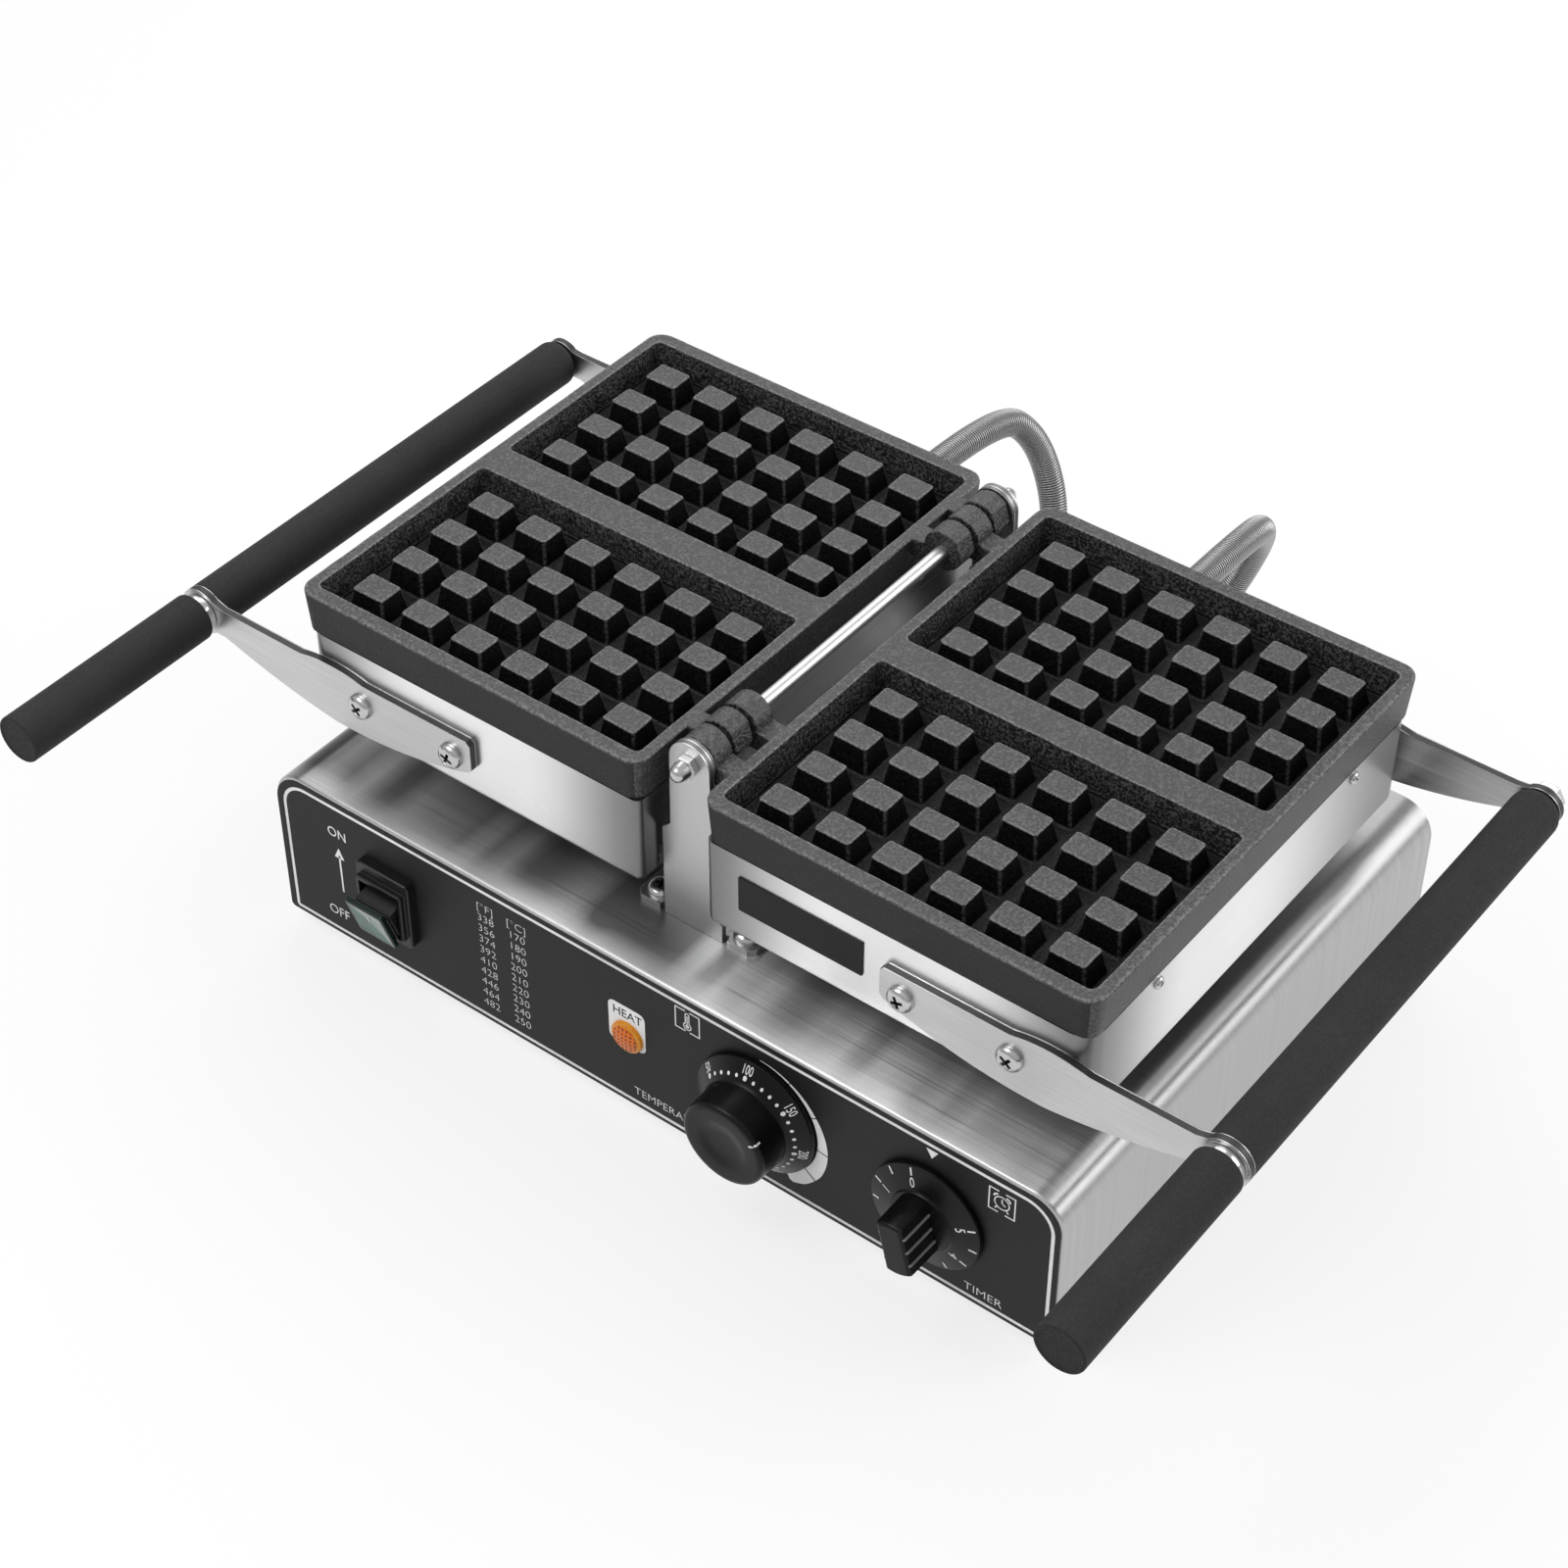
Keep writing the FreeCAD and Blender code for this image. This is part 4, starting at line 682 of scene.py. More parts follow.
def plate_screws(bm):
    """The small screws in the housing's sides, and those of the heater's clamp."""
    for y, spin in ((-80.65, 0.2), (63.35, 0.7)):
        pan_head(bm, (HOUSING_X[0], y, SIDE_SCREW_Z), (-1, 0, 0), *SIDE_HEAD, spin)
        pan_head(bm, (HOUSING_X[1], y, SIDE_SCREW_Z), (1, 0, 0), *SIDE_HEAD, spin)
    for y in (-53.65, 36.35):
        pan_head(bm, (106.9, y, 150.5), (0, 0, -1), *CLAMP_HEAD, 0.0)


def handle_line(bm, profile):
    turned(bm, profile, (HANDLE_X, 0, HANDLE_Z), (0, 1, 0))


def fittings(bm):
    """The collar in front of the front arm, and the nut behind the back arm."""
    low, high = COLLAR_FRONT, HOUSING_Y[0] - ARM_SHEET
    handle_line(bm, [(ROD_BORE, low), (8.3, low), (8.8, low + 0.25), (9.0, low + 0.75),
                     (9.0, high - 0.75), (8.8, high - 0.25), (8.3, high), (ROD_BORE, high)])
    hexagon(bm, (HANDLE_X, HOUSING_Y[1] + ARM_SHEET, HANDLE_Z), (0, 1, 0), 7.3, 6.0)


def front_grip(bm):
    front = [(8.8, 0.5), (9.4, 0.3), (9.8, 0.0), (10.3, 0.05), (10.8, 0.4), (GRIP_RADIUS, 1.0)]
    back = [(GRIP_RADIUS, 1.15), (10.8, 0.45), (10.2, 0.0), (ROD_BORE, 0.0)]
    handle_line(bm, [(r, GRIP_FRONT + d) for r, d in front] + [(r, COLLAR_FRONT - d) for r, d in back])


def long_grip(bm):
    front = [(ROD_BORE, 0.0), (10.2, 0.0), (10.8, 0.4), (GRIP_RADIUS, 1.1)]
    bend = 5.0
    back = arc(GRIP_RADIUS - bend, HOUSING_Y[1] - bend, bend, 0, 90, 6)
    handle_line(bm, [(r, HOUSING_Y[0] + d) for r, d in front] + back + [(ROD_BORE, HOUSING_Y[1])])


def plate_piece(side, name, material, slot, nodes, build, by_turn=False, sharp=SHARP):
    """One piece of a plate, built on the right and brought over for the left."""
    bm = bmesh.new()
    build(bm)
    if side == "left":
        to_left(bm, by_turn)
    riding(side + "_" + name, bm, side + "_plate", material, slot, [side + "_" + n for n in nodes], sharp)


IRON_FINISH = (grid_iron, deep_iron, end_iron)
HOUSING_FINISH = (housing_steel, satin_steel)
ARM_FINISH = (arm_steel, cut_edge)
SCREW_FINISH = (bright_steel, recess_steel)
PLATE_PIECES = (
    ("casting", IRON_FINISH, "grid_iron", ("grid_plate", "grid_cubes"), casting, True, 50),
    ("knuckle_castings", grid_iron, "grid_iron", ("hinge_knuckles",), knuckles, True, 50),
    ("housing_sheet", HOUSING_FINISH, "housing_steel", ("housing",), housing, False, 40),
    ("front_arm_plate", ARM_FINISH, "satin_steel", ("front_arm",), front_arm),
    ("rear_arm_plate", ARM_FINISH, "satin_steel", ("rear_arm",), rear_arm),
    ("arm_screw_heads", SCREW_FINISH, "bright_steel", ("arm_screws",), arm_screws),
    ("plate_screw_heads", SCREW_FINISH, "bright_steel", ("plate_screws",), plate_screws),
    ("handle_fittings", bright_steel, "bright_steel", ("handle_nuts",), fittings),
    ("front_grip_tube", grip_plastic, "grip_plastic", ("front_grip",), front_grip),
    ("long_grip_tube", grip_plastic, "grip_plastic", ("long_grip",), long_grip),
)
for plate_side in SIDES:
    for row in PLATE_PIECES:
        plate_piece(plate_side, *row)


# Base casing and hinge


def shell_line(inset):
    """The casing's bent sheet in section, from one bottom lip to the other."""
    half, low, top = BASE_HALF, SHELL_LOW, BASE_TOP
    points = [(-half + 16.0, low + inset)]
    points += arc(-half + 2.5, low + 2.5, 2.5 - inset, 270, 180, 5)
    points += arc(-half + 16.0, top - 16.0, 16.0 - inset, 180, 90, 18)
    points += [(x, top - inset) for x in range(-185, 186, 5)]
    points += arc(half - 16.0, top - 16.0, 16.0 - inset, 90, 0, 18)
    points += arc(half - 2.5, low + 2.5, 2.5 - inset, 0, -90, 5)
    return points + [(half - 16.0, low + inset)]


def base_shell(bm):
    """The casing's sheet, with its front edge rolled over, streaks of painted shade across its top standing
    in for dark reflections, and painted shade on its sides.
    """
    roll = 1.3
    # How deep the painted shade is across the top, listed by place along x: streaks that stand in for dark
    # reflections.
    streaks = ((-206, 0.7), (-185, 0.9), (-165, 0.45), (-135, 0.6), (-105, 0.45), (-85, 0.75), (-50, 0.85),
               (-20, 1.0), (5, 1.0), (25, 0.35), (50, 0.25), (80, 0.5), (105, 0.2), (130, 0.4), (150, 0.1),
               (170, 0.2), (206, 0.0))
    depths = [(FILM_SHEET + roll * (1 - math.sin(t)), roll * (1 - math.cos(t)))
              for t in (math.radians(a) for a in (90, 67, 45, 22, 0))]
    depths += [(d, 0.0) for d in (4.0, 8.0, 13.0, 19.0, 26.0, 36.0, 48.0, 60.0, 75.0)]
    whole = BASE_Y[1] - BASE_Y[0]
    depths += [(whole - 0.4, 0.0), (whole, 0.4)]
    inside = shell_line(SHELL_SHEET)[::-1]
    skin(bm, [at_depth(shell_line(inset) + inside, BASE_Y[0] + depth) for depth, inset in depths])
    # Painted shade: light near the rolled front edge, streaked behind it, even towards the back, and a little
    # on the sides.
    shade = bm.verts.layers.float.new("shade")
    for vert in bm.verts:
        x, y, z = vert.co
        back = ramp(y, BASE_Y[0] + 3.0, 12.0)
        on_top = ramp(z, BASE_TOP - 8.0, 7.0)
        far = ramp(y, BASE_Y[0] + 36.0, 36.0)
        painted_streak = from_table(streaks, x) + 0.8 * noise.noise((x * 0.09, 0.5, 0.5))
        even = 0.45 * far + painted_streak * (1 - far)
        vert[shade] = max(0.0, (0.2 + 0.8 * back) * on_top * even) + 0.2 * (1 - on_top)


def front_bracket(bm):
    """A stepped ear on a notched foot."""
    y0, y1 = EAR_Y, EAR_Y + EAR_SHEET
    outline = [(15.0, BASE_TOP), (15.0, 102.0), (12.0, 104.0), (12.0, 142.0), (10.0, 144.0), (10.0, HINGE_Z)]
    outline += arc(0, HINGE_Z, 10.0, 0, 180, 24)[1:]
    outline += [(-10.0, 144.0), (-13.0, 142.0), (-15.0, 140.0), (-15.0, BASE_TOP)]
    slab(bm, outline, y0, y1, 0.5)
    half = [(30.5, y0 + 21.0), (30.5, y0 + 3.0), (27.5, y0), (17.4, y0), (17.4, y1)]
    foot = [(-x, y) for x, y in half[::-1]] + [(-27.5, y0 + 24.0), (27.5, y0 + 24.0)] + half
    made = skin(bm, [at_height(foot, BASE_TOP), at_height(foot, BASE_TOP + EAR_SHEET)])
    round_off(bm, ring_edges(bm, made[1]), 0.5)


def rear_bracket(bm):
    front_bracket(bm)
    to_left(bm, True)


def hinge_fasteners(bm):
    """Domed nuts on the rod's ends, and washers behind the ears in the second finish."""
    dome = [(4.4, 3.4), (4.2, 4.2), (3.9, 6.4), (3.5, 7.8), (2.8, 8.9), (1.6, 9.5), (0.3, 9.65)]
    washer = [(3.2, 0), (9.7, 0), (10.0, 0.3), (10.0, 1.2), (9.7, 1.5), (3.2, 1.5)]
    for y, out in ((EAR_Y, -1), (REAR_EAR_Y, 1)):
        hexagon(bm, (0, y, HINGE_Z), (0, out, 0), 5.4, 3.8)
        turned(bm, dome, (0, y, HINGE_Z), (0, out, 0), 32)
        second_finish(turned(bm, washer, (0, y - out * EAR_SHEET, HINGE_Z), (0, -out, 0)))


def bracket_screws(bm):
    for x in (-22.5, 22.5):
        for y, spin in ((EAR_Y + 7.5, 0.5), (REAR_EAR_Y - 7.5, 1.1)):
            pan_head(bm, (x, y, BASE_TOP + EAR_SHEET), (0, 0, 1), *M6_HEAD, spin + x * 0.01)
            hexagon(bm, (x, y, BASE_TOP - SHELL_SHEET), (0, 0, -1), *M6_NUT)


def name_plate(bm):
    outline = round_rect((33.5, 93.9), (131.7, 149.5), 0, [0.6] * 4, 3)
    slab(bm, outline, HOUSING_Y[0] - 0.8, HOUSING_Y[0], 0.2)


def base_piece(name, material, slot, nodes, build, body="base"):
    bm = bmesh.new()
    build(bm)
    riding(name, bm, body, material, slot, nodes, SHARP)


EAR_FINISH = (satin_steel, ear_edge)
NUT_FINISH = (bright_steel, ear_edge)
base_piece("casing_sheet", casing_steel, "casing_steel", ("base_shell",), base_shell)
base_piece("front_bracket_sheet", EAR_FINISH, "satin_steel", ("front_hinge_bracket",), front_bracket)
base_piece("rear_bracket_sheet", EAR_FINISH, "satin_steel", ("rear_hinge_bracket",), rear_bracket)
base_piece("hinge_fittings", NUT_FINISH, "bright_steel", ("hinge_fasteners",), hinge_fasteners)
base_piece("bracket_screw_heads", SCREW_FINISH, "bright_steel", ("bracket_screws",), bracket_screws)
base_piece("name_plate", panel_film, "panel_film", ("badge_plate",), name_plate, "right_plate")


# Controls


def front_ring(points, centre, out):
    """Points given across and up from a centre, that far out from the front."""
    return [(centre[0] + u, BASE_Y[0] - out, centre[1] + v) for u, v in points]


def on_front(bm, profile, centre):
    """A turned piece that stands out from the front."""
    return turned(bm, profile, (centre[0], BASE_Y[0], centre[1]), (0, -1, 0), 96)


def switch_rings(levels, steps):
    """Rounded rectangles on the switch: half width, half height, how far out, and corner radius."""
    return [front_ring(round_rect((-hx, hx), (-hz, hz), 0, [radius] * 4, steps), SWITCH, out)
            for hx, hz, out, radius in levels]


def switch_bezel(bm):
    """A stepped frame round the rocker, and the barrel behind it."""
    levels = [(15.0, 18.5, -0.2, 2.6), (15.0, 18.5, 4.0, 2.6), (14.5, 18.0, 4.7, 2.2), (13.2, 13.4, 4.7, 1.2),
              (12.9, 13.1, 5.0, 1.1), (12.9, 13.1, 6.9, 1.1), (12.4, 12.6, 7.5, 0.9), (11.0, 11.2, 7.5, 0.6),
              (10.75, 10.95, 7.2, 0.5), (10.75, 10.95, -9.0, 0.5)]
    skin(bm, switch_rings(levels, 5))
    skin(bm, switch_rings([(12.9, 13.1, out, 1.1) for out in (-0.4, -24.0)], 5))


def rocked(bm):
    """Tilts a piece of the rocker so that its upper half stands out."""
    pivot = Vector((SWITCH[0], BASE_Y[0], SWITCH[1]))
    matrix = Matrix.Translation(pivot) @ Matrix.Rotation(ROCKER_TILT, 4, "X") @ Matrix.Translation(-pivot)
    bmesh.ops.transform(bm, matrix=matrix, verts=bm.verts)


def rocker_stem(bm):
    """The dark stem under the cap, in steps."""
    levels = [(9.4, 6.6, -4.0), (10.2, 7.4, -3.2), (10.2, 7.4, 8.6), (10.4, 7.8, 8.9), (10.4, 7.8, 9.7),
              (10.0, 7.2, 10.0), (10.0, 7.2, 10.4), (10.4, 8.6, 10.8), (10.4, 8.8, 11.3), (10.0, 8.4, 11.6),
              (10.0, 8.4, 11.95)]
    skin(bm, switch_rings([(hx, hz, out, 0.8) for hx, hz, out in levels], 4))
    rocked(bm)


def rocker_cap(bm):
    """The cap: upright walls and an eased edge in the second finish, and a shallow dished face."""
    levels = [(9.9, 11.7, 11.9, 0.8), (10.3, 12.1, 12.1, 0.9), (10.4, 12.2, 12.6, 0.9),
              (10.4, 12.2, 13.7, 0.9), (10.15, 11.95, 14.3, 0.8), (9.6, 11.4, 14.5, 0.7),
              (8.9, 10.7, 14.35, 0.6), (4.5, 5.4, 13.75, 0.4), (0.6, 0.7, 13.6, 0.1)]
    made = skin(bm, switch_rings(levels, 5))
    for low, high in zip(made[:6], made[1:7]):
        second_finish_between(bm, low, high)
    rocked(bm)


def lamp_lens(bm):
    """A low dome with a square relief, inside a plain rim in the second finish."""
    rim = [(8.0, 0.05), (8.0, 1.2), (7.85, 1.6), (7.5, 1.9), (6.9, 2.0)]
    dome = [(6.5, 2.4), (5.6, 2.9), (4.0, 3.35), (2.0, 3.56), (0.3, 3.6)]
    second_finish(on_front(bm, rim + dome, LAMP)[:len(rim)])


def temperature_knob(bm):
    """A sloping skirt and a round cap with a shallow dish."""
    skirt = [(8.0, 0.8), (29.0, 0.8), (29.35, 1.0), (29.4, 1.4), (29.4, 2.4), (29.2, 2.8), (28.7, 3.1)]
    cap = [(22.4, 7.4), (21.2, 8.3), (20.6, 9.6), (20.3, 21.6), (20.1, 22.7), (19.5, 23.5), (18.6, 23.95)]
    dish = [(17.4, 24.0), (13.0, 23.9), (10.8, 23.5), (8.6, 22.9), (6.0, 22.65), (0.3, 22.6)]
    on_front(bm, skirt + cap + dish, TEMPERATURE)


def wing_outline(half, half_wide):
    """The timer wing seen from the front: straight sides and round ends."""
    reach = math.degrees(math.asin(min(0.99, half_wide / half)))
    top = [(half * math.sin(math.radians(a)), half * math.cos(math.radians(a)))
           for a in (reach - 2 * reach * i / 10 for i in range(11))]
    return top + [(-u, -v) for u, v in top]


def spun(points):
    c, s = math.cos(TIMER_TURN), math.sin(TIMER_TURN)
    return [(u * c - v * s, u * s + v * c) for u, v in points]


def timer_knob(bm):
    """A sloping skirt with a wing across it; the wing's ridges take the second finish, a paler plastic that
    paints highlights on them.
    """
    skirt = [(8.0, 0.8), (25.8, 0.8), (26.15, 1.0), (26.2, 1.4), (26.2, 2.4), (26.0, 2.8), (25.5, 3.1)]
    on_front(bm, skirt + [(15.6, 5.2), (15.1, 5.5), (14.6, 6.3), (6.0, 7.4), (0.3, 7.45)], TIMER)
    levels = [(13.6, 6.1, 2.0), (13.6, 6.1, 7.4), (13.4, 6.0, 22.8), (13.1, 5.8, 23.7), (12.5, 5.2, 24.3),
              (11.7, 4.5, 24.5)]
    skin(bm, [front_ring(spun(wing_outline(half, wide)), TIMER, out) for half, wide, out in levels])
    root = 5.0
    for v in (-6.8, 0.0, 6.8):
        for side in (-1, 1):
            rings = []
            for out, reach in ((5.0, 6.75), (22.8, 6.65), (23.7, 6.0)):
                ridge = [(root, v - 0.7), (reach, v - 0.4), (reach, v + 0.4), (root, v + 0.7)]
                rings.append(front_ring(spun([(side * u, w) for u, w in ridge]), TIMER, out))
            second_finish(skin(bm, rings))


CAP_FINISH = (green_plastic, green_edge)
LAMP_FINISH = (amber_plastic, amber_rim)
TIMER_FINISH = (knob_plastic, ridge_plastic)
base_piece("switch_frame", black_plastic, "black_plastic", ("switch_bezel",), switch_bezel)
base_piece("rocker_cap", CAP_FINISH, "green_plastic", ("switch_rocker",), rocker_cap, "power_rocker")
base_piece("rocker_stem", black_plastic, "black_plastic", (), rocker_stem, "power_rocker")
base_piece("lamp_dome", LAMP_FINISH, "amber_plastic", ("lamp_lens",), lamp_lens)
base_piece("temperature_knob_body", knob_plastic, "knob_plastic", ("temperature_knob",), temperature_knob,
           "temperature_control")
base_piece("timer_knob_body", TIMER_FINISH, "knob_plastic", ("timer_knob",), timer_knob, "timer_control")


# Printed marks

INK = 0.06


def flat(u, v, w):
    """A point of the film: across, up and out."""
    return (u, BASE_Y[0] - 0.02 - w, v)


def printed(bm, outline, place):
    """A thin closed patch of ink with the given outline."""
    skin(bm, [[place(u, v, w) for u, v in outline] for w in (0.0, INK)])


def stroke(bm, points, width, place, closed=False):
    """A line of ink along the points."""
    count = len(points)
    sides = ([], [])
    for i, point in enumerate(points):
        before = points[i - 1] if i > 0 or closed else point
        after = points[(i + 1) % count] if i < count - 1 or closed else point
        a = (Vector(point) - Vector(before)) if before != point else (Vector(after) - Vector(point))
        b = (Vector(after) - Vector(point)) if after != point else a
        a, b = a.normalized(), b.normalized()
        normal = Vector((-a.y - b.y, a.x + b.x)).normalized()
        reach = width / 2 / max(0.35, normal.dot(Vector((-a.y, a.x))))
        sides[0].append(tuple(Vector(point) + normal * reach))
        sides[1].append(tuple(Vector(point) - normal * reach))
    if closed:
        rings = [[place(u, v, w) for u, v in line] for line, w in
                 ((sides[0], 0), (sides[0], INK), (sides[1], INK), (sides[1], 0), (sides[0], 0))]
        skin(bm, rings, (False, False))
    else:
        printed(bm, sides[0] + sides[1][::-1], place)


def lettering(bm, text, size, x, z, place, align="LEFT", wide=1.0, thin=0.0):
    """Plain letters or numbers as thin closed meshes."""
    curve = bpy.data.curves.new("letters", "FONT")
    curve.body = text
    curve.size = size
    curve.align_x = align
    curve.extrude = INK / 2
    curve.offset = thin * size
    curve.resolution_u = 3
    points, faces = curve_mesh(curve)
    verts = [bm.verts.new(place(x + point.x * wide, z + point.y, point.z + INK / 2)) for point in points]
    for face in faces:
        bm.faces.new([verts[i] for i in face])


def circle(x, z, radius, count=24):
    """Points all round a circle."""
    return arc(x, z, radius, 0, 360 - 360 / count, count - 1)


def film_sheet(bm):
    """The film over the panel, cut out for the controls."""
    outlines = [round_rect((-205.0, 203.6), (9.7, 90.0), 0, [14.0, 15.4, 2.0, 2.0], 10)]
    opening = [(middle - half, middle + half) for middle, half in zip(SWITCH, (13.0, 13.2))]
    outlines.append(round_rect(*opening, 0, [1.0] * 4))
    outlines += [circle(*centre, 5.2) for centre in (LAMP, TEMPERATURE, TIMER)]
    faces = ([], [])
    for outline in outlines:
        made = skin(bm, [at_depth(outline, y) for y in (BASE_Y[0], BASE_Y[0] + FILM_SHEET)], (False, False))
        for edges, ring in zip(faces, made):
            edges += ring_edges(bm, ring)
    for edges in faces:
        bmesh.ops.triangle_fill(bm, edges=edges, use_beauty=True, normal=(0, 1, 0))


def film_marks(bm):
    """The border, the switch's words, the two temperature columns, the captions and the small signs."""
    border = round_rect((-200.4, 200.4), (12.4, 86.8), 0, [13.0, 13.0, 0.8, 0.8], 10)
    stroke(bm, border, 1.6, flat, True)
    lettering(bm, "ON", 7.6, -170.2, 69.4, flat, "CENTER", 0.92)
    stroke(bm, [(-170.2, 37.4), (-170.2, 59.0)], 1.0, flat)
    printed(bm, [(-173.0, 57.4), (-167.4, 57.4), (-170.2, 63.4)], flat)
    lettering(bm, "OFF", 7.6, -174.4, 20.4, flat, "CENTER", 0.92)
    for column, x in ((["[°F]"] + [str(n) for n in range(338, 483, 18)], -85.4),
                      (["[°C]"] + [str(n) for n in range(170, 251, 10)], -68.1)):
        for row, text in enumerate(column):
            lettering(bm, text, 6.0, x, 75.2 - 6.3 * row, flat, "CENTER", 1.07, -0.022)
    lettering(bm, "TEMPERATURE", 6.2, -6.8, 17.0, flat, "LEFT", 1.02, -0.016)
    lettering(bm, "TIMER", 6.4, 161.3, 15.5, flat, "LEFT", 1.06, -0.016)
    printed(bm, [(141.0, 84.2), (146.6, 84.2), (143.8, 79.6)], flat)
    for side in ([(22.0, 72.8), (16.9, 72.8), (16.9, 84.2), (22.0, 84.2)],
                 [(24.2, 72.8), (29.2, 72.8), (29.2, 84.2), (24.2, 84.2)]):
        stroke(bm, side, 0.6, flat)
    bulb = arc(23.0, 75.8, 1.9, 120, 420, 16)
    stem = arc(23.0, 82.2, 0.95, 0, 180, 8)
    stroke(bm, bulb + stem, 0.5, flat, True)
    printed(bm, circle(23.0, 75.8, 0.95), flat)
    stroke(bm, [(23.0, 76.0), (23.0, 81.6)], 0.5, flat)
    clock_marks(bm)
    heat_scale(bm)


def clock_marks(bm):
    """A small alarm clock in a broken frame."""
    x, z = 176.7, 76.6
    for corner in ([(x - 1.6, 82.7), (170.7, 82.7), (170.7, 70.7), (x - 1.6, 70.7)],
                   [(x + 1.6, 82.7), (182.7, 82.7), (182.7, 70.7), (x + 1.6, 70.7)]):
        stroke(bm, corner, 0.6, flat)
    stroke(bm, circle(x, z, 3.4, 32), 0.5, flat, True)
    stroke(bm, [(x, z + 2.1), (x, z)], 0.5, flat)
    stroke(bm, [(x, z), (x + 1.6, z - 1.0)], 0.5, flat)
    for side in (-1, 1):
        bell = [(3.9, 2.4), (3.2, 3.7), (1.9, 4.3)]
        stroke(bm, [(x + side * u, z + v) for u, v in bell], 0.8, flat)
        stroke(bm, [(x + side * 2.2, z - 2.9), (x + side * 3.1, z - 4.2)], 0.6, flat)


def heat_scale(bm):
    """A crescent in pieces beside the temperature knob, wider towards its lower end."""
    inner = 30.0
    bounds = ((2.0, 30.6), (31.4, 62.8), (63.8, 96.0), (97.2, 127.5), (128.8, 152.0))
    widths = ((0, 0.2), (30, 1.0), (62, 2.4), (96, 5.2), (120, 6.6), (140, 6.8), (150, 5.6), (153, 3.4))
    for start, end in bounds:
        angles = [start + (end - start) * i / 12 for i in range(13)]
        ring = [(inner, math.radians(a)) for a in angles]
        ring += [(inner + from_table(widths, a), math.radians(a)) for a in angles[::-1]]
        printed(bm, [(TEMPERATURE[0] + r * math.sin(t), TEMPERATURE[1] + r * math.cos(t))
                     for r, t in ring], flat)


def heat_tab(bm):
    printed(bm, round_rect((-19.0, 0.4), (44.0, 66.7), 0, [3.2] * 4, 6), flat)


def heat_word(bm):
    lettering(bm, "HEAT", 6.6, -8.9, 60.0, lambda u, v, w: flat(u, v, w + INK + 0.01), "CENTER", 0.95)


def on_skirt(centre, angle, rim, slope):
    """Places ink on a knob's skirt: across the radius, up the radius and out."""
    def place(u, radius, w):
        turn = angle + u / max(radius, 1.0)
        out = rim[1] + (rim[0] - radius) * slope + 0.03 + w
        return (centre[0] + radius * math.sin(turn), BASE_Y[0] - out, centre[1] + radius * math.cos(turn))
    return place


def rocker_mark(bm):
    """A short bar on the rocker's face."""
    def face(u, v, w):
        return (SWITCH[0] + u, BASE_Y[0] - 13.8 - w, SWITCH[1] + v)

    stroke(bm, [(0, 1.5), (0, 5.5)], 0.8, face)
    rocked(bm)


def temperature_marks(bm):
    """Numbers and dots round the temperature knob's skirt, and the index on its cap."""
    rim, slope = (28.7, 3.1), 4.3 / 6.3
    for step in range(26):
        angle = math.radians(-55.6 + 10.4 * step)
        place = on_skirt(TEMPERATURE, angle, rim, slope)
        major = step % 5 == 0
        radius = 0.95 if major else 0.7
        printed(bm, circle(0, 23.6, radius, 12), place)
        if major:
            lettering(bm, str(50 + 10 * step), 4.9, 0, 25.0, place, "CENTER", 0.76)
    angle = math.radians(57.0)
    c, s = math.cos(angle), math.sin(angle)

    def cap(u, v, w):
        """The index runs over the cap's edge: v counts along the radius, then down the side."""
        over = max(0.0, v - 20.2)
        radius = min(v, 20.2) + w + (0.1 if over else 0)
        out = 24.0 - over + w - (0.0 if v < 18.6 else min(1.0, (v - 18.6) * 0.62))
        return (TEMPERATURE[0] + radius * s + u * c, BASE_Y[0] - out, TEMPERATURE[1] + radius * c - u * s)

    stroke(bm, [(0, 16.4), (0, 18.0), (0, 18.6), (0, 19.4), (0, 20.2)], 0.9, cap)
    stroke(bm, [(0, 20.4), (0, 22.4)], 0.9, cap)


def timer_marks(bm):
    """Ticks and minutes round the timer knob's skirt."""
    rim, slope = (25.5, 3.1), 2.1 / 9.9
    for step in range(11):
        angle = math.radians(-17.5 - 27.1 * step)
        place = on_skirt(TIMER, angle, rim, slope)
        stroke(bm, [(0, 21.8), (0, 25.2)], 0.75, place)
        if step % 2 == 0:
            lettering(bm, str(step // 2), 6.2, 0, 16.6, place, "CENTER", 0.8)


base_piece("film_sheet", panel_film, "panel_film", ("control_film",), film_sheet)
base_piece("film_print", white_print, "panel_film", (), film_marks)
base_piece("heat_tab", white_print, "panel_film", (), heat_tab)
base_piece("heat_word", dark_print, "panel_film", (), heat_word)
base_piece("rocker_print", white_print, "green_plastic", (), rocker_mark, "power_rocker")
base_piece("temperature_print", white_print, "knob_plastic", (), temperature_marks, "temperature_control")
base_piece("timer_print", white_print, "knob_plastic", (), timer_marks, "timer_control")


# Conduits

CONDUIT_ROUTE = ((40.0, 132.5, 53.0), (39.7, 199.0, 52.1), (48.0, 224.0, 75.7), (62.0, 224.0, 115.3),
                 (70.8, 199.0, 140.3), (70.0, 108.85, 138.0))
CONDUIT_RADIUS = 6.75
RIBS = 190
RIB_DEPTH = 0.45
RIB_SHAPE = (0.0, 0.55, 1.0, 1.0, 0.55, 0.0)


def conduit_line(sign):
    """Points of the smooth line that a conduit follows from the base to its plate."""
    curve = bpy.data.curves.new("route", "CURVE")
    curve.dimensions = "3D"
    spline = curve.splines.new("NURBS")
    spline.points.add(len(CONDUIT_ROUTE) - 1)
    for point, (x, y, z) in zip(spline.points, CONDUIT_ROUTE):
        point.co = (sign * x, y, z, 1.0)
    spline.order_u = 3
    spline.use_endpoint_u = True
    spline.resolution_u = 256
    return curve_mesh(curve)[0]


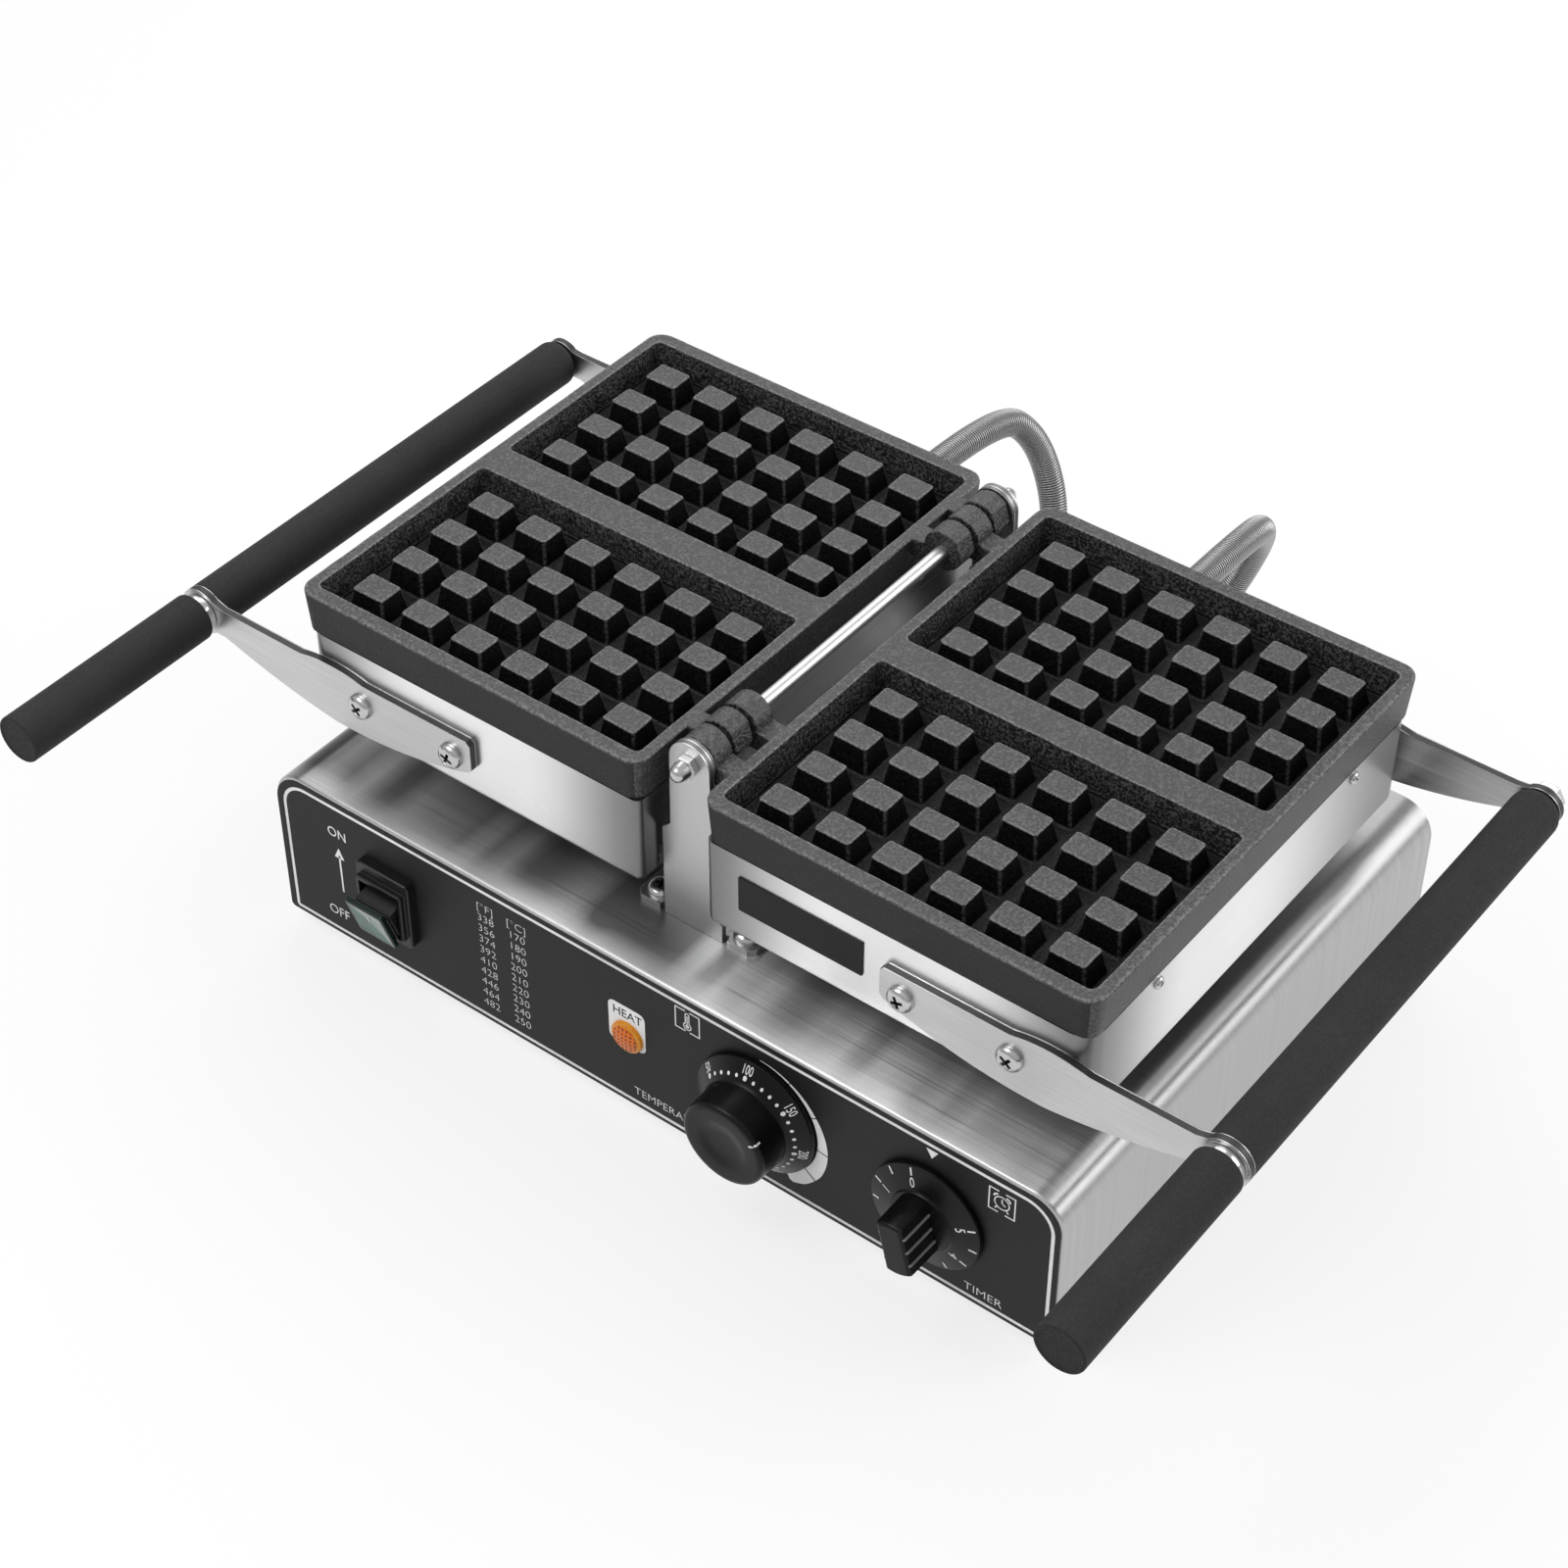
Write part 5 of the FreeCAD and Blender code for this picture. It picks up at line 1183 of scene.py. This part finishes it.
def even_places(points, count):
    """Evenly spaced places along a line of points, and its length."""
    reached = [0.0]
    for a, b in zip(points, points[1:]):
        reached.append(reached[-1] + (b - a).length)
    places = []
    k = 0
    for i in range(count + 1):
        along = reached[-1] * i / count
        while k < len(points) - 2 and reached[k + 1] < along:
            k += 1
        places.append(points[k].lerp(points[k + 1], (along - reached[k]) / (reached[k + 1] - reached[k])))
    return places, reached[-1]


def conduit(side):
    """A ribbed conduit, its grooves in the second finish."""
    sign = -1 if side == "left" else 1
    places, length = even_places(conduit_line(sign), RIBS * len(RIB_SHAPE))
    bm = bmesh.new()
    rings = []
    first = Vector((1, 0, 0))
    for i, point in enumerate(places):
        way = (places[min(i + 3, len(places) - 1)] - places[max(i - 3, 0)]).normalized()
        first = (first - way * first.dot(way)).normalized()
        radius = CONDUIT_RADIUS - RIB_DEPTH * (1 - RIB_SHAPE[i % len(RIB_SHAPE)])
        rings.append(ring_about(point, first, way.cross(first), radius, 24))
    made = skin(bm, rings)
    # The grooves take a dark copy of the steel: painted shade.
    second_finish(ring for i, ring in enumerate(made) if RIB_SHAPE[i % len(RIB_SHAPE)] == 0)
    obj = piece(side + "_ribbed_conduit", bm, (conduit_steel, groove_steel), "conduit_steel", 60, False)
    path = [tuple((point + Vector((0, PLAN_Y, 0))) * MM) for point in places[::len(RIB_SHAPE)]]
    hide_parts(side + "_conduit")
    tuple(path[0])
    low, high = Vector(path[0]), Vector((path[-1][0], path[0][1], path[-1][2]))
    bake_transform(obj)


for conduit_side in SIDES:
    conduit(conduit_side)


# Finishes of the frame's own pieces

FRAME_FINISHES = {
    "front_panel": casing_steel, "rear_panel": casing_steel, "bottom_cover": casing_steel,
    "cover_screws": bright_steel, "rubber_feet": foot_rubber, "terminal_block": terminal_plastic,
    "hinge_rod": satin_steel, "base_glands": bright_steel, "mains_gland": bright_steel,
    "lamp_body": terminal_plastic, "thermostat": terminal_plastic, "timer": terminal_plastic,
    "thermostat_shaft": bright_steel, "timer_shaft": bright_steel, "heater": heater_sheath,
    "heater_clamp": clamp_steel, "insulation": insulation_wool, "handle_rod": bright_steel,
    "plate_gland": bright_steel,
}
for node_name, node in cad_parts.items():
    plain_name = node_name.replace("left_", "").replace("right_", "")
    if plain_name in FRAME_FINISHES:
        node.data.materials.clear()
        node.data.materials.append(FRAME_FINISHES[plain_name])


# Floor, light and camera


def floor_material():
    """White where the camera or a reflection sees it, with the object's shadow kept."""
    material, tree, shader = new_material("floor")
    soft = grain(tree, (3, 3, 3), 2.0)
    tree.links.new(between(tree, soft, (0.86, 0.86, 0.86), (0.88, 0.88, 0.88)), shader.inputs["Base Color"])
    shader.inputs["Roughness"].default_value = 0.9
    shader.inputs["Specular IOR Level"].default_value = 0.1
    white = tree.nodes.new("ShaderNodeEmission")
    rays = tree.nodes.new("ShaderNodeLightPath")
    seen = rays.outputs["Is Camera Ray"]
    for name in ("Is Glossy Ray", "Is Transmission Ray"):
        seen = combined(tree, "MAXIMUM", seen, rays.outputs[name])
    mix = tree.nodes.new("ShaderNodeMixShader")
    tree.links.new(combined(tree, "MULTIPLY", seen, 0.72), mix.inputs[0])
    tree.links.new(shader.outputs[0], mix.inputs[1])
    tree.links.new(white.outputs[0], mix.inputs[2])
    tree.links.new(mix.outputs[0], tree.nodes["Material Output"].inputs["Surface"])
    return material


def studio():
    """A white floor, an even pale sky and three soft lamps."""
    floor_mesh = bpy.data.meshes.new("floor")
    half = 6.0
    corners = [(-half, -half, 0), (half, -half, 0), (half, half, 0), (-half, half, 0)]
    floor_mesh.from_pydata(corners, [], [(0, 1, 2, 3)])
    floor_mesh.materials.append(floor_material())
    floor = bpy.data.objects.new("floor", floor_mesh)
    scene.collection.objects.link(floor)
    world = bpy.data.worlds.new("studio")
    world.use_nodes = True
    scene.world = world
    tree = world.node_tree
    background = tree.nodes["Background"]
    place = tree.nodes.new("ShaderNodeTexCoord")
    apart = tree.nodes.new("ShaderNodeSeparateXYZ")
    tree.links.new(place.outputs["Generated"], apart.inputs[0])
    height = ranged(tree, apart.outputs["Z"], 0.0, 1.0, -0.1, 0.9)
    tree.links.new(between(tree, height, (0.62, 0.62, 0.62), (0.95, 0.95, 0.95)), background.inputs["Color"])
    background.inputs["Strength"].default_value = 0.7
    for name, place_at, aim, size, power in (
            ("key", (-0.36, -0.62, 1.0), (0.05, -0.05, 0.12), 0.6, 4.8),
            ("side", (1.45, 1.25, 1.05), (0, 0, 0.1), 1.3, 18.0),
            ("back", (-0.9, 1.2, 1.55), (0, 0, 0.15), 1.7, 16.0)):
        lamp = bpy.data.lights.new(name, "AREA")
        lamp.size = size
        lamp.energy = power
        holder = bpy.data.objects.new(name, lamp)
        scene.collection.objects.link(holder)
        holder.location = place_at
        holder.rotation_euler = (Vector(aim) - Vector(place_at)).to_track_quat("-Z", "Y").to_euler()


def camera():
    """The camera that was fitted to the photographed grid."""
    data = bpy.data.cameras.new("camera")
    data.lens = 75.377
    data.sensor_width = 36.0
    holder = bpy.data.objects.new("camera", data)
    scene.collection.objects.link(holder)
    holder.location = (0.6106, -0.8458, 1.0331)
    turn, rise = math.radians(37.54), math.radians(42.106)
    back = Vector((math.sin(turn) * math.cos(rise), -math.cos(turn) * math.cos(rise), math.sin(rise)))
    holder.rotation_euler = (-back).to_track_quat("-Z", "Y").to_euler()
    scene.camera = holder


studio()
camera()
